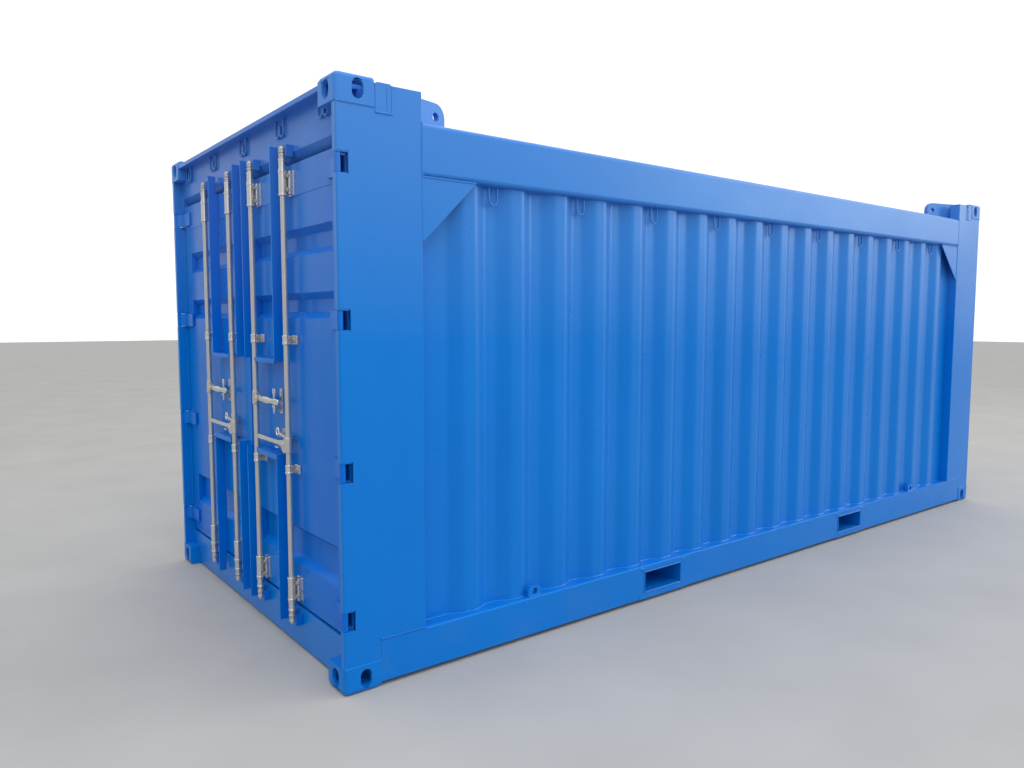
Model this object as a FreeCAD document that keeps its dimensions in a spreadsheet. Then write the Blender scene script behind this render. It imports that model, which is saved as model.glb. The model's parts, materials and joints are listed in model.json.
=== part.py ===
import FreeCAD, Part
import Sketcher
import math
import os

# A twenty foot open-top shipping container of the offshore kind: a welded steel box
# with corner castings, wide post plates, a deep top rail, two doors with four lock
# rods, forklift tunnels and pad-eyes for slings.
# Frame: origin under the centre of the base, +X away from the doors, +Z up, in mm.
# "right" is the side at -Y and "left" the side at +Y.
# u is the depth in from the outer plane of an end, v the depth in from the outer
# plane of a side, and both are measured from the faces of the corner castings.

DOC = FreeCAD.newDocument("Container")
SHEET = DOC.addObject("Spreadsheet::Sheet", "Sizes")
NODES = []


class Size(float):
    """A length in mm that remembers the sheet expression it was worked out from."""

    def __new__(cls, number, text=None):
        made = super().__new__(cls, number)
        made.text = text or f"{float(number):.10g}"
        return made

    def _join(self, sign, number, other, turned=False):
        first, second = (other, self) if turned else (self, other)
        return Size(number, f"({text_of(first)} {sign} {text_of(second)})")

    def __add__(self, other):
        return self._join("+", float(self) + float(other), other)

    def __radd__(self, other):
        return self._join("+", float(other) + float(self), other, True)

    def __sub__(self, other):
        return self._join("-", float(self) - float(other), other)

    def __rsub__(self, other):
        return self._join("-", float(other) - float(self), other, True)

    def __mul__(self, other):
        return self._join("*", float(self) * float(other), other)

    def __rmul__(self, other):
        return self._join("*", float(other) * float(self), other, True)

    def __truediv__(self, other):
        return self._join("/", float(self) / float(other), other)

    def __neg__(self):
        return Size(-float(self), f"(0 - {self.text})")


def text_of(value):
    """The sheet expression of a size, or a plain number written out."""
    return value.text if isinstance(value, Size) else f"{float(value):.10g}"


def size(alias, number):
    """Write one driving size in the sheet and hand back the size that reads it."""
    size.row += 1
    SHEET.set(f"A{size.row}", alias)
    SHEET.set(f"B{size.row}", str(number))
    SHEET.setAlias(f"B{size.row}", alias)
    return Size(number, f"Sizes.{alias}")


size.row = 0

# --- overall size and corner castings ------------------------------------------
length = size("length", 6058)
width = size("width", 2438)
height = size("height", 2591)
cast_long = size("casting_length", 178)
cast_wide = size("casting_width", 162)
cast_high = size("casting_height", 118)
cast_roof = size("casting_aperture_wall", 28)
cast_wall = size("casting_wall", 20)
slot_spacing_x = size("twistlock_spacing_length", 5853)
slot_spacing_y = size("twistlock_spacing_width", 2259)
slot_long = size("twistlock_slot_length", 124)
slot_wide = size("twistlock_slot_width", 63.5)
side_hole_high = size("casting_side_hole_height", 79.5)
side_hole_wide = size("casting_side_hole_width", 51)
end_hole_wide = size("casting_end_hole_width", 63.5)
overrun = size("cutter_overrun", 5)

# --- posts ------------------------------------------------------------------------
inset = size("post_inset", 4)
plate = size("post_plate", 8)
post_long = size("post_plate_length", 406)
post_step = size("post_top_step", 20)
return_deep = size("post_rear_return", 80)
lip_wide = size("post_lip_width", 35)
frame_plane = size("frame_plane_depth", 58)
jamb = size("door_jamb_depth", 50)
end_post_wide = size("end_post_width", 96)
end_post_deep = size("end_post_depth", 106)

# --- rails --------------------------------------------------------------------------
rail_low = size("bottom_rail_underside", 20)
rail_high = size("bottom_rail_top", 212)
rail_deep = size("bottom_rail_depth", 90)
rail_wall = size("rail_wall", 8)
rail_proud = size("top_rail_face_depth", 2)
top_rail_low = size("top_rail_underside", 2218)
top_rail_high = size("top_rail_top", 2446)
top_rail_deep = size("top_rail_depth", 110)
sill_low = size("sill_underside", 10)
sill_high = size("sill_top", 206)
sill_deep = size("sill_depth", 92)
header_low = size("header_underside", 2332)
header_deep = size("header_depth", 84)
visor_low = size("visor_underside", 2541)
visor_high = size("visor_top", 2566)
end_rail_low = size("end_top_rail_underside", 2346)
end_rail_deep = size("end_rail_depth", 106)

# --- walls and floor -----------------------------------------------------------------
sheet_wall = size("wall_sheet", 3)
crest_depth = size("wall_crest_depth", 38)
wave_deep = size("wave_depth", 34)
wave_pitch = size("wave_pitch", 277)
wave_crest = size("wave_crest", 72)
wave_slope = size("wave_slope", 68)
end_pitch = size("end_wave_pitch", 250)
floor_thick = size("floor_thickness", 24)
member_wide = size("cross_member_width", 45)
member_high = size("cross_member_height", 120)
member_wall = size("cross_member_wall", 5)
member_pitch = size("cross_member_pitch", 300)
pocket_spacing = size("pocket_spacing", 2050)
pocket_wide = size("pocket_width", 305)
pocket_high = size("pocket_height", 114)
pocket_low = size("pocket_underside", 58)
pocket_wall = size("pocket_wall", 8)

# --- sling, tarpaulin and roof fittings -----------------------------------------------
gusset_long = size("gusset_length", 291)
gusset_high = size("gusset_height", 286)
gusset_back = size("gusset_setback", 2)
eye_radius = size("pad_eye_radius", 62)
eye_hole = size("pad_eye_hole_radius", 19)
eye_thick = size("pad_eye_thickness", 30)
eye_high = size("pad_eye_height", 137)
eye_long = size("pad_eye_length", 363)
eye_turn = size("pad_eye_turn", 16)
eye_start = size("pad_eye_start_depth", 215)
eye_depth = size("pad_eye_side_depth", 66)
eye_base = size("pad_eye_base_thickness", 12)
base_long = size("corner_plate_length", 640)
base_wide = size("corner_plate_width", 300)
base_edge = size("corner_plate_edge", 190)
loop_radius = size("tarp_loop_radius", 24)
loop_rod = size("tarp_loop_rod_radius", 5)
loop_leg = size("tarp_loop_leg", 62)
loop_front = size("header_loop_depth", 50)
loop_margin = size("header_loop_margin", 37)
bow_wide = size("roof_bow_width", 60)
bow_high = size("roof_bow_height", 40)
bow_drop = size("roof_bow_drop", 6)
bow_count = 4
side_loops_each_way = 4
header_loops_each_way = 2

# --- doors ------------------------------------------------------------------------------
leaf_gap = size("leaf_side_gap", 14)
leaf_top_gap = size("leaf_top_gap", 14)
leaf_sill_gap = size("leaf_sill_gap", 12)
leaf_mid_gap = size("leaf_middle_gap", 16)
leaf_plane = size("leaf_plane_depth", 62)
leaf_thick = size("leaf_thickness", 50)
stile_wide = size("hinge_stile_width", 110)
mid_stile = size("middle_stile_width", 92)
leaf_rail = size("leaf_rail_height", 148)
panel_back = size("panel_setback", 2)
rib_deep = size("rib_depth", 34)
rib_slope = size("rib_slope", 30)
rib_upper_low = size("upper_rib_low", 1892)
rib_upper_high = size("upper_rib_high", 2018)
rib_middle_low = size("middle_rib_low", 1605)
rib_middle_high = size("middle_rib_high", 1722)
rib_lower_low = size("lower_rib_low", 418)
rib_lower_high = size("lower_rib_high", 600)
gasket_wide = size("gasket_width", 7)
gasket_thick = size("gasket_thickness", 26)
gasket_mid = size("gasket_middle_width", 3)
gasket_back = size("gasket_setback", 16)

# --- hinges ---------------------------------------------------------------------------
hinge_u = size("hinge_pin_depth", 17)
hinge_v = size("hinge_pin_side_depth", 21.5)
pin_radius = size("hinge_pin_radius", 8)
pin_play = size("hinge_pin_play", 0.06)
knuckle_radius = size("hinge_knuckle_radius", 13)
blade_high = size("hinge_blade_height", 80)
blade_thick = size("hinge_blade_thickness", 12)
blade_long = size("hinge_blade_length", 170)
blade_crank = size("hinge_blade_crank", 4)
root_forward = size("blade_root_forward", 2)
root_inward = size("blade_root_inward", 5)
tail_back = size("blade_tail_back", 8)
tail_outward = size("blade_tail_outward", 6)
notch_high = size("hinge_notch_height", 92)
lug_high = size("hinge_lug_height", 20)
lug_deep = size("hinge_lug_depth", 34)
first_hinge = size("first_hinge_height", 322)
hinge_pitch = size("hinge_pitch", 637)
hinge_count = 4

# --- lock gear ----------------------------------------------------------------------------
rod_depth = size("lock_rod_depth", 22)
rod_radius = size("lock_rod_radius", 14)
rod_play = size("lock_rod_play", 0.06)
rod_low = size("lock_rod_low", 175)
rod_high = size("lock_rod_high", 2352)
outer_rod = size("outer_rod_offset", 606)
inner_rod = size("inner_rod_offset", 177)
cam_radius = size("cam_radius", 21)
cam_high = size("cam_height", 44)
nose_half = size("cam_nose_half_thickness", 9)
nose_inset = size("cam_nose_inset", 10)
keeper_wide = size("keeper_half_width", 44)
keeper_plate = size("keeper_plate", 7)
keeper_margin = size("keeper_end_margin", 4)
sleeve_radius = size("bearing_radius", 21)
upper_bearing_low = size("upper_bearing_low", 2168)
upper_bearing_high = size("upper_bearing_high", 2340)
lower_bearing_low = size("lower_bearing_low", 192)
lower_bearing_high = size("lower_bearing_high", 372)
upper_foot_low = size("upper_foot_low", 2171)
upper_foot_high = size("upper_foot_high", 2287)
lower_foot_low = size("lower_foot_low", 244)
lower_foot_high = size("lower_foot_high", 360)
bearing_plate = size("bearing_plate_thickness", 8)
bearing_reach = size("bearing_plate_reach", 66)
bearing_web = size("bearing_web_half_width", 12)
guide_reach = size("guide_plate_reach", 50)
guide_radius = size("guide_radius", 18)
guide_high = size("guide_height", 44)
upper_guide = size("upper_guide_height", 1503)
lower_guide = size("lower_guide_height", 885)
guard_thick = size("guard_thickness", 8)
guard_front = size("guard_front_depth", 8)
guard_step = size("guard_clearance", 8)
shelf_gap = size("guard_shelf_gap", 12)
outer_guard = size("outer_guard_offset", 476)
inner_guard = size("inner_guard_offset", 60)
guard_upper_low = size("upper_guard_low", 1400)
guard_upper_high = size("upper_guard_high", 2416)
guard_lower_low = size("lower_guard_low", 110)
guard_lower_high = size("lower_guard_high", 940)
hub_radius = size("hub_radius", 21)
hub_high = size("hub_height", 84)
hub_reach = size("hub_reach", 38)
hub_plate = size("hub_plate", 9)
pivot_radius = size("handle_pivot_radius", 6)
pivot_play = size("handle_pivot_play", 0.06)
pivot_proud = size("handle_pivot_proud", 3)
handle_gap = size("handle_side_gap", 1)
handle_thick = size("handle_thickness", 9)
handle_wide = size("handle_width", 30)
handle_waist = size("handle_waist", 3)
upper_handle = size("upper_handle_height", 1198)
upper_handle_long = size("upper_handle_length", 287)
lower_handle = size("lower_handle_height", 1002)
lower_handle_long = size("lower_handle_length", 366)
upper_catch = size("upper_catch_offset", 262)
lower_catch = size("lower_catch_offset", 140)
catch_gap = size("catch_gap", 6)
catch_wide = size("catch_width", 34)
catch_high = size("catch_half_height", 62)

DOC.recompute()

ENDS = {"door": -1, "end": 1}
SIDES = {"right": -1, "left": 1}
RODS = {"outer": outer_rod, "inner": inner_rod}


# --- building blocks -----------------------------------------------------------------------
def along(end, depth):
    """The x of a depth u in from the outer plane of an end."""
    return (length / 2 - depth) * end


def across(side, depth):
    """The y of a depth v in from the outer plane of a side."""
    return (width / 2 - depth) * side


def bind(thing, prop, value):
    """Tie one property of a thing to a size."""
    thing.setExpression(prop, text_of(value))


def box(name, xs, ys, zs):
    """A plain block between two values on each axis, given in any order."""
    block = DOC.addObject("Part::Box", name)
    spans = (sorted(xs), sorted(ys), sorted(zs))
    for prop, axis, (low, high) in zip(("Length", "Width", "Height"), "xyz", spans):
        bind(block, prop, high - low)
        bind(block, f"Placement.Base.{axis}", low)
    return block


AXIS_TURN = {
    "x": FreeCAD.Rotation(FreeCAD.Vector(0, 1, 0), 90),
    "y": FreeCAD.Rotation(FreeCAD.Vector(1, 0, 0), -90),
    "z": FreeCAD.Rotation(),
}


def rod(name, radius, axis, centre, start, end):
    """A round bar along an axis; centre gives its place on the two other axes."""
    low, high = sorted((start, end))
    bar = DOC.addObject("Part::Cylinder", name)
    bar.Placement = FreeCAD.Placement(FreeCAD.Vector(), AXIS_TURN[axis])
    bind(bar, "Radius", radius)
    bind(bar, "Height", high - low)
    others = [letter for letter in "xyz" if letter != axis]
    for letter, value in zip(others, centre):
        bind(bar, f"Placement.Base.{letter}", value)
    bind(bar, f"Placement.Base.{axis}", low)
    return bar


def fuse(name, *things):
    """One solid from things that touch or overlap."""
    joined = DOC.addObject("Part::MultiFuse", name)
    joined.Shapes = list(things)
    return joined


def cut(name, base, *tools):
    """A thing with others taken out of it."""
    tool = tools[0] if len(tools) == 1 else fuse(name + "_tools", *tools)
    made = DOC.addObject("Part::Cut", name)
    made.Base = base
    made.Tool = tool
    return made


def node(label, *things):
    """Name a finished sub-part; several solids that don't touch share one node."""
    made = things[0]
    if len(things) > 1:
        made = DOC.addObject("Part::Compound", label + "_set")
        made.Links = list(things)
    made.Label = label
    NODES.append(made)
    return made


PLANES = {"xy": ("XY_Plane", "z", 1), "xz": ("XZ_Plane", "y", -1), "yz": ("YZ_Plane", "x", 1)}


def outline(sketch, points, tag):
    """Draw a closed polygon whose corners are tied to sizes."""
    first = sketch.GeometryCount
    count = len(points)
    for step in range(count):
        start = FreeCAD.Vector(float(points[step][0]), float(points[step][1]), 0)
        following = points[(step + 1) % count]
        finish = FreeCAD.Vector(float(following[0]), float(following[1]), 0)
        sketch.addGeometry(Part.LineSegment(start, finish), False)
    for step in range(count):
        line = first + step
        onward = first + (step + 1) % count
        sketch.addConstraint(Sketcher.Constraint("Coincident", line, 2, onward, 1))
        for kind, value in zip(("DistanceX", "DistanceY"), points[step]):
            rule = Sketcher.Constraint(kind, -1, 1, line, 1, float(value))
            index = sketch.addConstraint(rule)
            sketch.renameConstraint(index, f"{tag}{step}{kind[-1]}")
            sketch.setExpression(f"Constraints[{index}]", text_of(value))


def prism(name, plane_name, points, start, end, holes=()):
    """A body padded from a closed outline on one of its origin planes."""
    role, axis, direction = PLANES[plane_name]
    low, high = sorted((start, end))
    body = DOC.addObject("PartDesign::Body", name)
    sketch = body.newObject("Sketcher::SketchObject", name + "_outline")
    plane_object = [item for item in body.Origin.OriginFeatures if item.Role == role][0]
    sketch.AttachmentSupport = [(plane_object, "")]
    sketch.MapMode = "FlatFace"
    outline(sketch, points, "edge")
    for number, hole in enumerate(holes):
        outline(sketch, hole, f"hole{number}_")
    pad = body.newObject("PartDesign::Pad", name + "_pad")
    pad.Profile = sketch
    bind(pad, "Length", high - low)
    bind(body, f"Placement.Base.{axis}", low if direction > 0 else high)
    return body


def slot(name, axis, centre, stretch, radius, start, end):
    """A cutter with round ends: stretch is how far each end centre lies from the middle."""
    others = [letter for letter in "xyz" if letter != axis]
    rods = []
    for number, sign in enumerate((-1, 1)):
        place = [value + reach * sign for value, reach in zip(centre, stretch)]
        rods.append(rod(f"{name}_round{number}", radius, axis, place, start, end))
    spans = {axis: (start, end)}
    for letter, value, reach in zip(others, centre, stretch):
        grow = reach if float(reach) > 0 else radius
        spans[letter] = (value - grow, value + grow)
    middle = box(name + "_middle", spans["x"], spans["y"], spans["z"])
    return fuse(name, middle, *rods)


# --- corner castings -------------------------------------------------------------------------
def casting(name, end, side, outer, inner_sign):
    """A hollow corner casting; outer is the z of its aperture face."""
    depth = cast_high * inner_sign
    shell = box(name + "_shell", (along(end, 0), along(end, cast_long)),
                (across(side, 0), across(side, cast_wide)), (outer, outer + depth))
    cavity = box(name + "_cavity", (along(end, cast_wall), along(end, cast_long - cast_wall)),
                 (across(side, cast_wall), across(side, cast_wide - cast_wall)),
                 (outer + cast_roof * inner_sign, outer + depth - cast_wall * inner_sign))
    slot_x = slot_spacing_x / 2 * end
    slot_y = slot_spacing_y / 2 * side
    slot_z = outer + depth / 2
    face_slot = slot(name + "_face", "z", (slot_x, slot_y),
                     ((slot_long - slot_wide) / 2, Size(0)), slot_wide / 2,
                     outer - overrun * inner_sign, outer + (cast_roof + overrun) * inner_sign)
    side_slot = slot(name + "_side", "y", (slot_x, slot_z),
                     (Size(0), (side_hole_high - side_hole_wide) / 2), side_hole_wide / 2,
                     across(side, -overrun), across(side, cast_wall + overrun))
    end_slot = slot(name + "_end", "x", (slot_y, slot_z),
                    (Size(0), (side_hole_high - end_hole_wide) / 2), end_hole_wide / 2,
                    along(end, -overrun), along(end, cast_wall + overrun))
    return cut(name, shell, cavity, face_slot, side_slot, end_slot)


for level, outer_face, inward in (("top", height, -1), ("bottom", Size(0), 1)):
    node(f"{level}_corner_castings", *[
        casting(f"{level}_{end_name}_{side_name}_casting", end, side, outer_face, inward)
        for end_name, end in ENDS.items() for side_name, side in SIDES.items()])


# --- corner posts ----------------------------------------------------------------------------
def placed(end, side, points):
    """Turn (u, v) corners into x and y at one corner of the box."""
    return [(along(end, u), across(side, v)) for u, v in points]


post_end = post_long
post_low = cast_high
post_high = height - cast_high
post_top = height - post_step
hinge_heights = [first_hinge + hinge_pitch * step for step in range(hinge_count)]


def post_tail(name, end, side):
    """The side plate behind the castings, from the bottom rail to above the top rail."""
    back = post_end
    points = [(cast_long, inset), (back, inset), (back, return_deep),
              (back - plate, return_deep), (back - plate, inset + plate),
              (cast_long, inset + plate)]
    return prism(name + "_tail", "xy", placed(end, side, points), rail_high, post_top)


def door_post(side_name, side):
    """A folded plate with a lip that carries the hinges, and a jamb behind the lip."""
    name = f"door_post_{side_name}"
    lip = inset + lip_wide
    points = [(inset, inset), (cast_long, inset), (cast_long, jamb), (frame_plane, jamb),
              (frame_plane, lip), (inset, lip)]
    hollow = [(inset + plate, inset + plate), (cast_long - plate, inset + plate),
              (cast_long - plate, jamb - plate), (frame_plane + plate, jamb - plate),
              (frame_plane + plate, lip - plate), (inset + plate, lip - plate)]
    front = prism(name + "_front", "xy", placed(-1, side, points), post_low, post_high,
                  [placed(-1, side, hollow)])
    notches, lugs, bores = [], [], []
    for step, middle in enumerate(hinge_heights):
        notch_low = middle - notch_high / 2
        notch_top = middle + notch_high / 2
        notches.append(box(f"{name}_notch{step}", (along(-1, 0), along(-1, frame_plane)),
                           (across(side, 0), across(side, lip)), (notch_low, notch_top)))
        for level, (low, high) in enumerate(((notch_low - lug_high, notch_low),
                                             (notch_top, notch_top + lug_high))):
            lugs.append(box(f"{name}_lug{step}_{level}",
                            (along(-1, inset + plate / 2), along(-1, lug_deep)),
                            (across(side, inset + plate / 2), across(side, lip - plate / 2)),
                            (low, high)))
            bores.append(rod(f"{name}_bore{step}_{level}", pin_radius, "z",
                             (along(-1, hinge_u), across(side, hinge_v)), low, high))
    notched = cut(name + "_notched", front, *notches)
    whole = fuse(name + "_whole", notched, post_tail(name, -1, side), *lugs)
    return cut(name, whole, *bores)


def end_post(side_name, side):
    """The closed end's post: a square tube and the same wide side plate."""
    name = f"end_post_{side_name}"
    tube_u = inset + end_post_deep
    tube_v = inset + end_post_wide
    points = [(inset, inset), (cast_long, inset), (cast_long, inset + plate),
              (tube_u, inset + plate), (tube_u, tube_v), (inset, tube_v)]
    hollow = [(inset + plate, inset + plate), (tube_u - plate, inset + plate),
              (tube_u - plate, tube_v - plate), (inset + plate, tube_v - plate)]
    front = prism(name + "_front", "xy", placed(1, side, points), post_low, post_high,
                  [placed(1, side, hollow)])
    return fuse(name, front, post_tail(name, 1, side))


for side_name, side in SIDES.items():
    node(f"door_post_{side_name}", door_post(side_name, side))
for side_name, side in SIDES.items():
    node(f"end_post_{side_name}", end_post(side_name, side))


# --- rails -------------------------------------------------------------------------------------
def tube(name, xs, ys, zs, wall, axis):
    """A square tube open at the two ends of one axis."""
    spans = {"x": sorted(xs), "y": sorted(ys), "z": sorted(zs)}
    inner = {}
    for letter, (low, high) in spans.items():
        inner[letter] = (low, high) if letter == axis else (low + wall, high - wall)
    shell = box(name + "_shell", spans["x"], spans["y"], spans["z"])
    core = box(name + "_core", inner["x"], inner["y"], inner["z"])
    return cut(name, shell, core)


node("top_side_rails", *[
    tube(f"top_rail_{side_name}", (along(-1, post_end), along(1, post_end)),
         (across(side, rail_proud), across(side, top_rail_deep)), (top_rail_low, top_rail_high),
         rail_wall, "x")
    for side_name, side in SIDES.items()])

pocket_middles = [pocket_spacing / 2 * sign for sign in (-1, 1)]
pocket_outer = pocket_wide / 2 + pocket_wall
tunnel_low = pocket_low - pocket_wall
tunnel_high = pocket_low + pocket_high + pocket_wall


def bottom_rail(side_name, side):
    """A bottom side rail between the castings, with a way through for each tunnel."""
    name = f"bottom_side_rail_{side_name}"
    rail = tube(name + "_tube", (along(-1, cast_long), along(1, cast_long)),
                (across(side, inset), across(side, rail_deep)), (rail_low, rail_high),
                rail_wall, "x")
    ways = [box(f"{name}_way{number}", (middle - pocket_outer, middle + pocket_outer),
                (across(side, 0), across(side, rail_deep)), (tunnel_low, tunnel_high))
            for number, middle in enumerate(pocket_middles)]
    return cut(name, rail, *ways)


for side_name, side in SIDES.items():
    node(f"bottom_side_rail_{side_name}", bottom_rail(side_name, side))

node("forklift_tunnels", *[
    tube(f"tunnel{number}", (middle - pocket_outer, middle + pocket_outer),
         (across(-1, inset), across(1, inset)), (tunnel_low, tunnel_high), pocket_wall, "y")
    for number, middle in enumerate(pocket_middles)])

jamb_span = (across(-1, jamb), across(1, jamb))
cast_span = (across(-1, cast_wide), across(1, cast_wide))
header_span = (along(-1, frame_plane), along(-1, frame_plane + header_deep))
node("door_header", fuse(
    "header",
    tube("header_lower", header_span, jamb_span, (header_low, post_high), rail_wall, "y"),
    box("header_upper", header_span, cast_span, (post_high, visor_low)),
    box("header_visor", (along(-1, inset), header_span[1]), cast_span,
        (visor_low, visor_high))))

sill_span = (along(-1, frame_plane), along(-1, frame_plane + sill_deep))
node("door_sill", fuse(
    "sill",
    box("sill_upper", sill_span, jamb_span, (cast_high, sill_high)),
    tube("sill_lower", sill_span, cast_span, (sill_low, cast_high), rail_wall, "y")))

end_post_inner = inset + end_post_wide
end_span = (along(1, inset), along(1, inset + end_rail_deep))
end_post_span = (across(-1, end_post_inner), across(1, end_post_inner))
node("end_top_rail", fuse(
    "end_top",
    tube("end_top_lower", end_span, end_post_span, (end_rail_low, post_high), rail_wall, "y"),
    box("end_top_upper", end_span, cast_span, (post_high, visor_high))))
node("end_bottom_rail", fuse(
    "end_bottom",
    box("end_bottom_upper", end_span, end_post_span, (cast_high, sill_high)),
    tube("end_bottom_lower", end_span, cast_span, (sill_low, cast_high), rail_wall, "y")))


# --- walls -------------------------------------------------------------------------------------
def wave(middle, crest, slope, pitch):
    """Outer corners of one trough and the crests beside it, as (along, in) pairs."""
    trough = (pitch - crest - slope * 2) / 2
    return [(middle - trough - slope, 0), (middle - trough, 1),
            (middle + trough, 1), (middle + trough + slope, 0)]


def corrugation(start, end, pitch, face, inward):
    """A closed outline of a corrugated sheet between two plain edges."""
    reach = (float(end) - float(start)) / 2 - float(wave_crest) / 2 - float(wave_slope)
    half = int(reach / float(pitch) - 0.5)
    outer = []
    for step in range(-half, half + 1):
        outer += wave(pitch * step, wave_crest, wave_slope, pitch)
    edge = outer[0][0] - (pitch - (outer[3][0] - outer[0][0]))
    sheet = [(start, 1), (edge - wave_slope, 1), (edge, 0)]
    sheet += outer
    sheet += [(-edge, 0), (wave_slope - edge, 1), (end, 1)]
    near = [(place, face + wave_deep * level * inward) for place, level in sheet]
    far = [(place, value + sheet_wall * inward) for place, value in reversed(near)]
    return near + far


def side_wall(side_name, side):
    """A side wall of vertical waves, standing on the bottom rail."""
    face = across(side, crest_depth)
    points = corrugation(along(-1, post_end), along(1, post_end), wave_pitch, face, -side)
    return prism(f"side_wall_{side_name}", "xy", points, rail_high, top_rail_low)


for side_name, side in SIDES.items():
    node(f"side_wall_{side_name}", side_wall(side_name, side))

end_face = along(1, inset + crest_depth)
end_points = [(x, y) for y, x in corrugation(end_post_span[0], end_post_span[1],
                                             end_pitch, end_face, -1)]
node("end_wall", prism("end_wall", "xy", end_points, sill_high, end_rail_low))

# --- floor -------------------------------------------------------------------------------------
floor_low = sill_high - floor_thick
floor_xs = (sill_span[1], end_span[1])
floor_ys = (across(-1, rail_deep), across(1, rail_deep))
node("floor", box("floor", floor_xs, floor_ys, (floor_low, sill_high)))


def cross_member(name, middle):
    """A channel across the base, open towards the closed end."""
    xs = (middle - member_wide / 2, middle + member_wide / 2)
    zs = (floor_low - member_high, floor_low)
    shell = box(name + "_shell", xs, floor_ys, zs)
    core = box(name + "_core", (xs[0] + member_wall, xs[1]), floor_ys,
               (zs[0] + member_wall, zs[1] - member_wall))
    return cut(name, shell, core)


reach = int(float(length / 2 - cast_long) / float(member_pitch))
member_places = [member_pitch * step for step in range(-reach, reach + 1)]
keep_off = float(pocket_outer + member_wide / 2)
clear_places = [place for place in member_places
                if min(abs(float(place) - float(middle)) for middle in pocket_middles) > keep_off]
node("cross_members", *[cross_member(f"member{number}", place)
                        for number, place in enumerate(clear_places)])


# --- gussets and pad-eyes ------------------------------------------------------------------------
def gusset(name, end, side):
    """The plate in the corner between a post and the top rail."""
    edge = post_end
    points = [(along(end, edge), top_rail_low - gusset_high), (along(end, edge), top_rail_low),
              (along(end, edge + gusset_long), top_rail_low)]
    face = inset + gusset_back
    return prism(name, "xz", points, across(side, face), across(side, face + plate))


node("rail_gussets", *[gusset(f"gusset_{end_name}_{side_name}", end, side)
                       for end_name, end in ENDS.items() for side_name, side in SIDES.items()])


def eye_plate(name, end, side):
    """The upright plate of a pad-eye, turned towards the middle of the box."""
    body = DOC.addObject("PartDesign::Body", name)
    sketch = body.newObject("Sketcher::SketchObject", name + "_outline")
    plane_object = [item for item in body.Origin.OriginFeatures if item.Role == "XZ_Plane"][0]
    sketch.AttachmentSupport = [(plane_object, "")]
    sketch.MapMode = "FlatFace"
    eye_sketch(sketch, eye_high - eye_radius)
    pad = body.newObject("PartDesign::Pad", name + "_pad")
    pad.Profile = sketch
    pad.Midplane = True
    bind(pad, "Length", eye_thick)
    turn = 180 + eye_turn * side if end > 0 else 0 - eye_turn * side
    body.Placement = FreeCAD.Placement(FreeCAD.Vector(),
                                       FreeCAD.Rotation(FreeCAD.Vector(0, 0, 1), 1))
    bind(body, "Placement.Rotation.Angle", turn)
    bind(body, "Placement.Base.x", along(end, eye_start))
    bind(body, "Placement.Base.y", across(side, eye_depth))
    bind(body, "Placement.Base.z", top_rail_high)
    return body


def pad_eye(name, end, side):
    """A sling plate welded to the flat plate that ties rail, post and end rail."""
    start = frame_plane + header_deep if end < 0 else inset + end_rail_deep
    post_edge = inset + end_post_wide
    points = [(start, post_edge), (cast_long, post_edge), (cast_long, inset + plate),
              (post_end - plate, inset + plate), (post_end - plate, return_deep),
              (post_end, return_deep), (post_end, post_edge), (base_long, post_edge),
              (base_long, base_edge), (eye_start + base_edge, base_wide), (start, base_wide)]
    base = prism(name + "_base", "xy", placed(end, side, points), top_rail_high,
                 top_rail_high + eye_base)
    return fuse(name, eye_plate(name + "_plate", end, side), base)


def eye_sketch(sketch, middle):
    """A plate with one round end and its shackle hole."""
    reach, radius, base = float(eye_long), float(eye_radius), 0.0
    centre = FreeCAD.Vector(reach, float(middle), 0)
    up = FreeCAD.Vector(0, 0, 1)
    sketch.addGeometry(Part.LineSegment(FreeCAD.Vector(0, base, 0),
                                        FreeCAD.Vector(reach + radius, base, 0)), False)
    sketch.addGeometry(Part.LineSegment(FreeCAD.Vector(reach + radius, base, 0),
                                        FreeCAD.Vector(reach + radius, middle, 0)), False)
    sketch.addGeometry(Part.ArcOfCircle(Part.Circle(centre, up, radius), 0, math.pi / 2), False)
    sketch.addGeometry(Part.LineSegment(FreeCAD.Vector(reach, middle + radius, 0),
                                        FreeCAD.Vector(0, middle + radius, 0)), False)
    sketch.addGeometry(Part.LineSegment(FreeCAD.Vector(0, middle + radius, 0),
                                        FreeCAD.Vector(0, base, 0)), False)
    sketch.addGeometry(Part.Circle(centre, up, float(eye_hole)), False)
    for one, one_end, two, two_end in ((0, 2, 1, 1), (3, 2, 4, 1), (4, 2, 0, 1), (2, 3, 5, 3)):
        sketch.addConstraint(Sketcher.Constraint("Coincident", one, one_end, two, two_end))
    for one, one_end, two, two_end in ((1, 2, 2, 1), (2, 2, 3, 1)):
        sketch.addConstraint(Sketcher.Constraint("Tangent", one, one_end, two, two_end))
    for kind, line in (("Horizontal", 0), ("Vertical", 1), ("Horizontal", 3), ("Vertical", 4)):
        sketch.addConstraint(Sketcher.Constraint(kind, line))
    rules = (("Radius", (2,), eye_radius), ("Radius", (5,), eye_hole),
             ("DistanceX", (-1, 1, 2, 3), eye_long), ("DistanceY", (-1, 1, 2, 3), middle),
             ("DistanceX", (-1, 1, 0, 1), Size(0)), ("DistanceY", (-1, 1, 0, 1), Size(0)))
    for kind, where, value in rules:
        index = sketch.addConstraint(Sketcher.Constraint(kind, *where, float(value)))
        sketch.setExpression(f"Constraints[{index}]", text_of(value))


node("pad_eyes", *[pad_eye(f"pad_eye_{end_name}_{side_name}", end, side)
                   for end_name, end in ENDS.items() for side_name, side in SIDES.items()])


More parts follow.
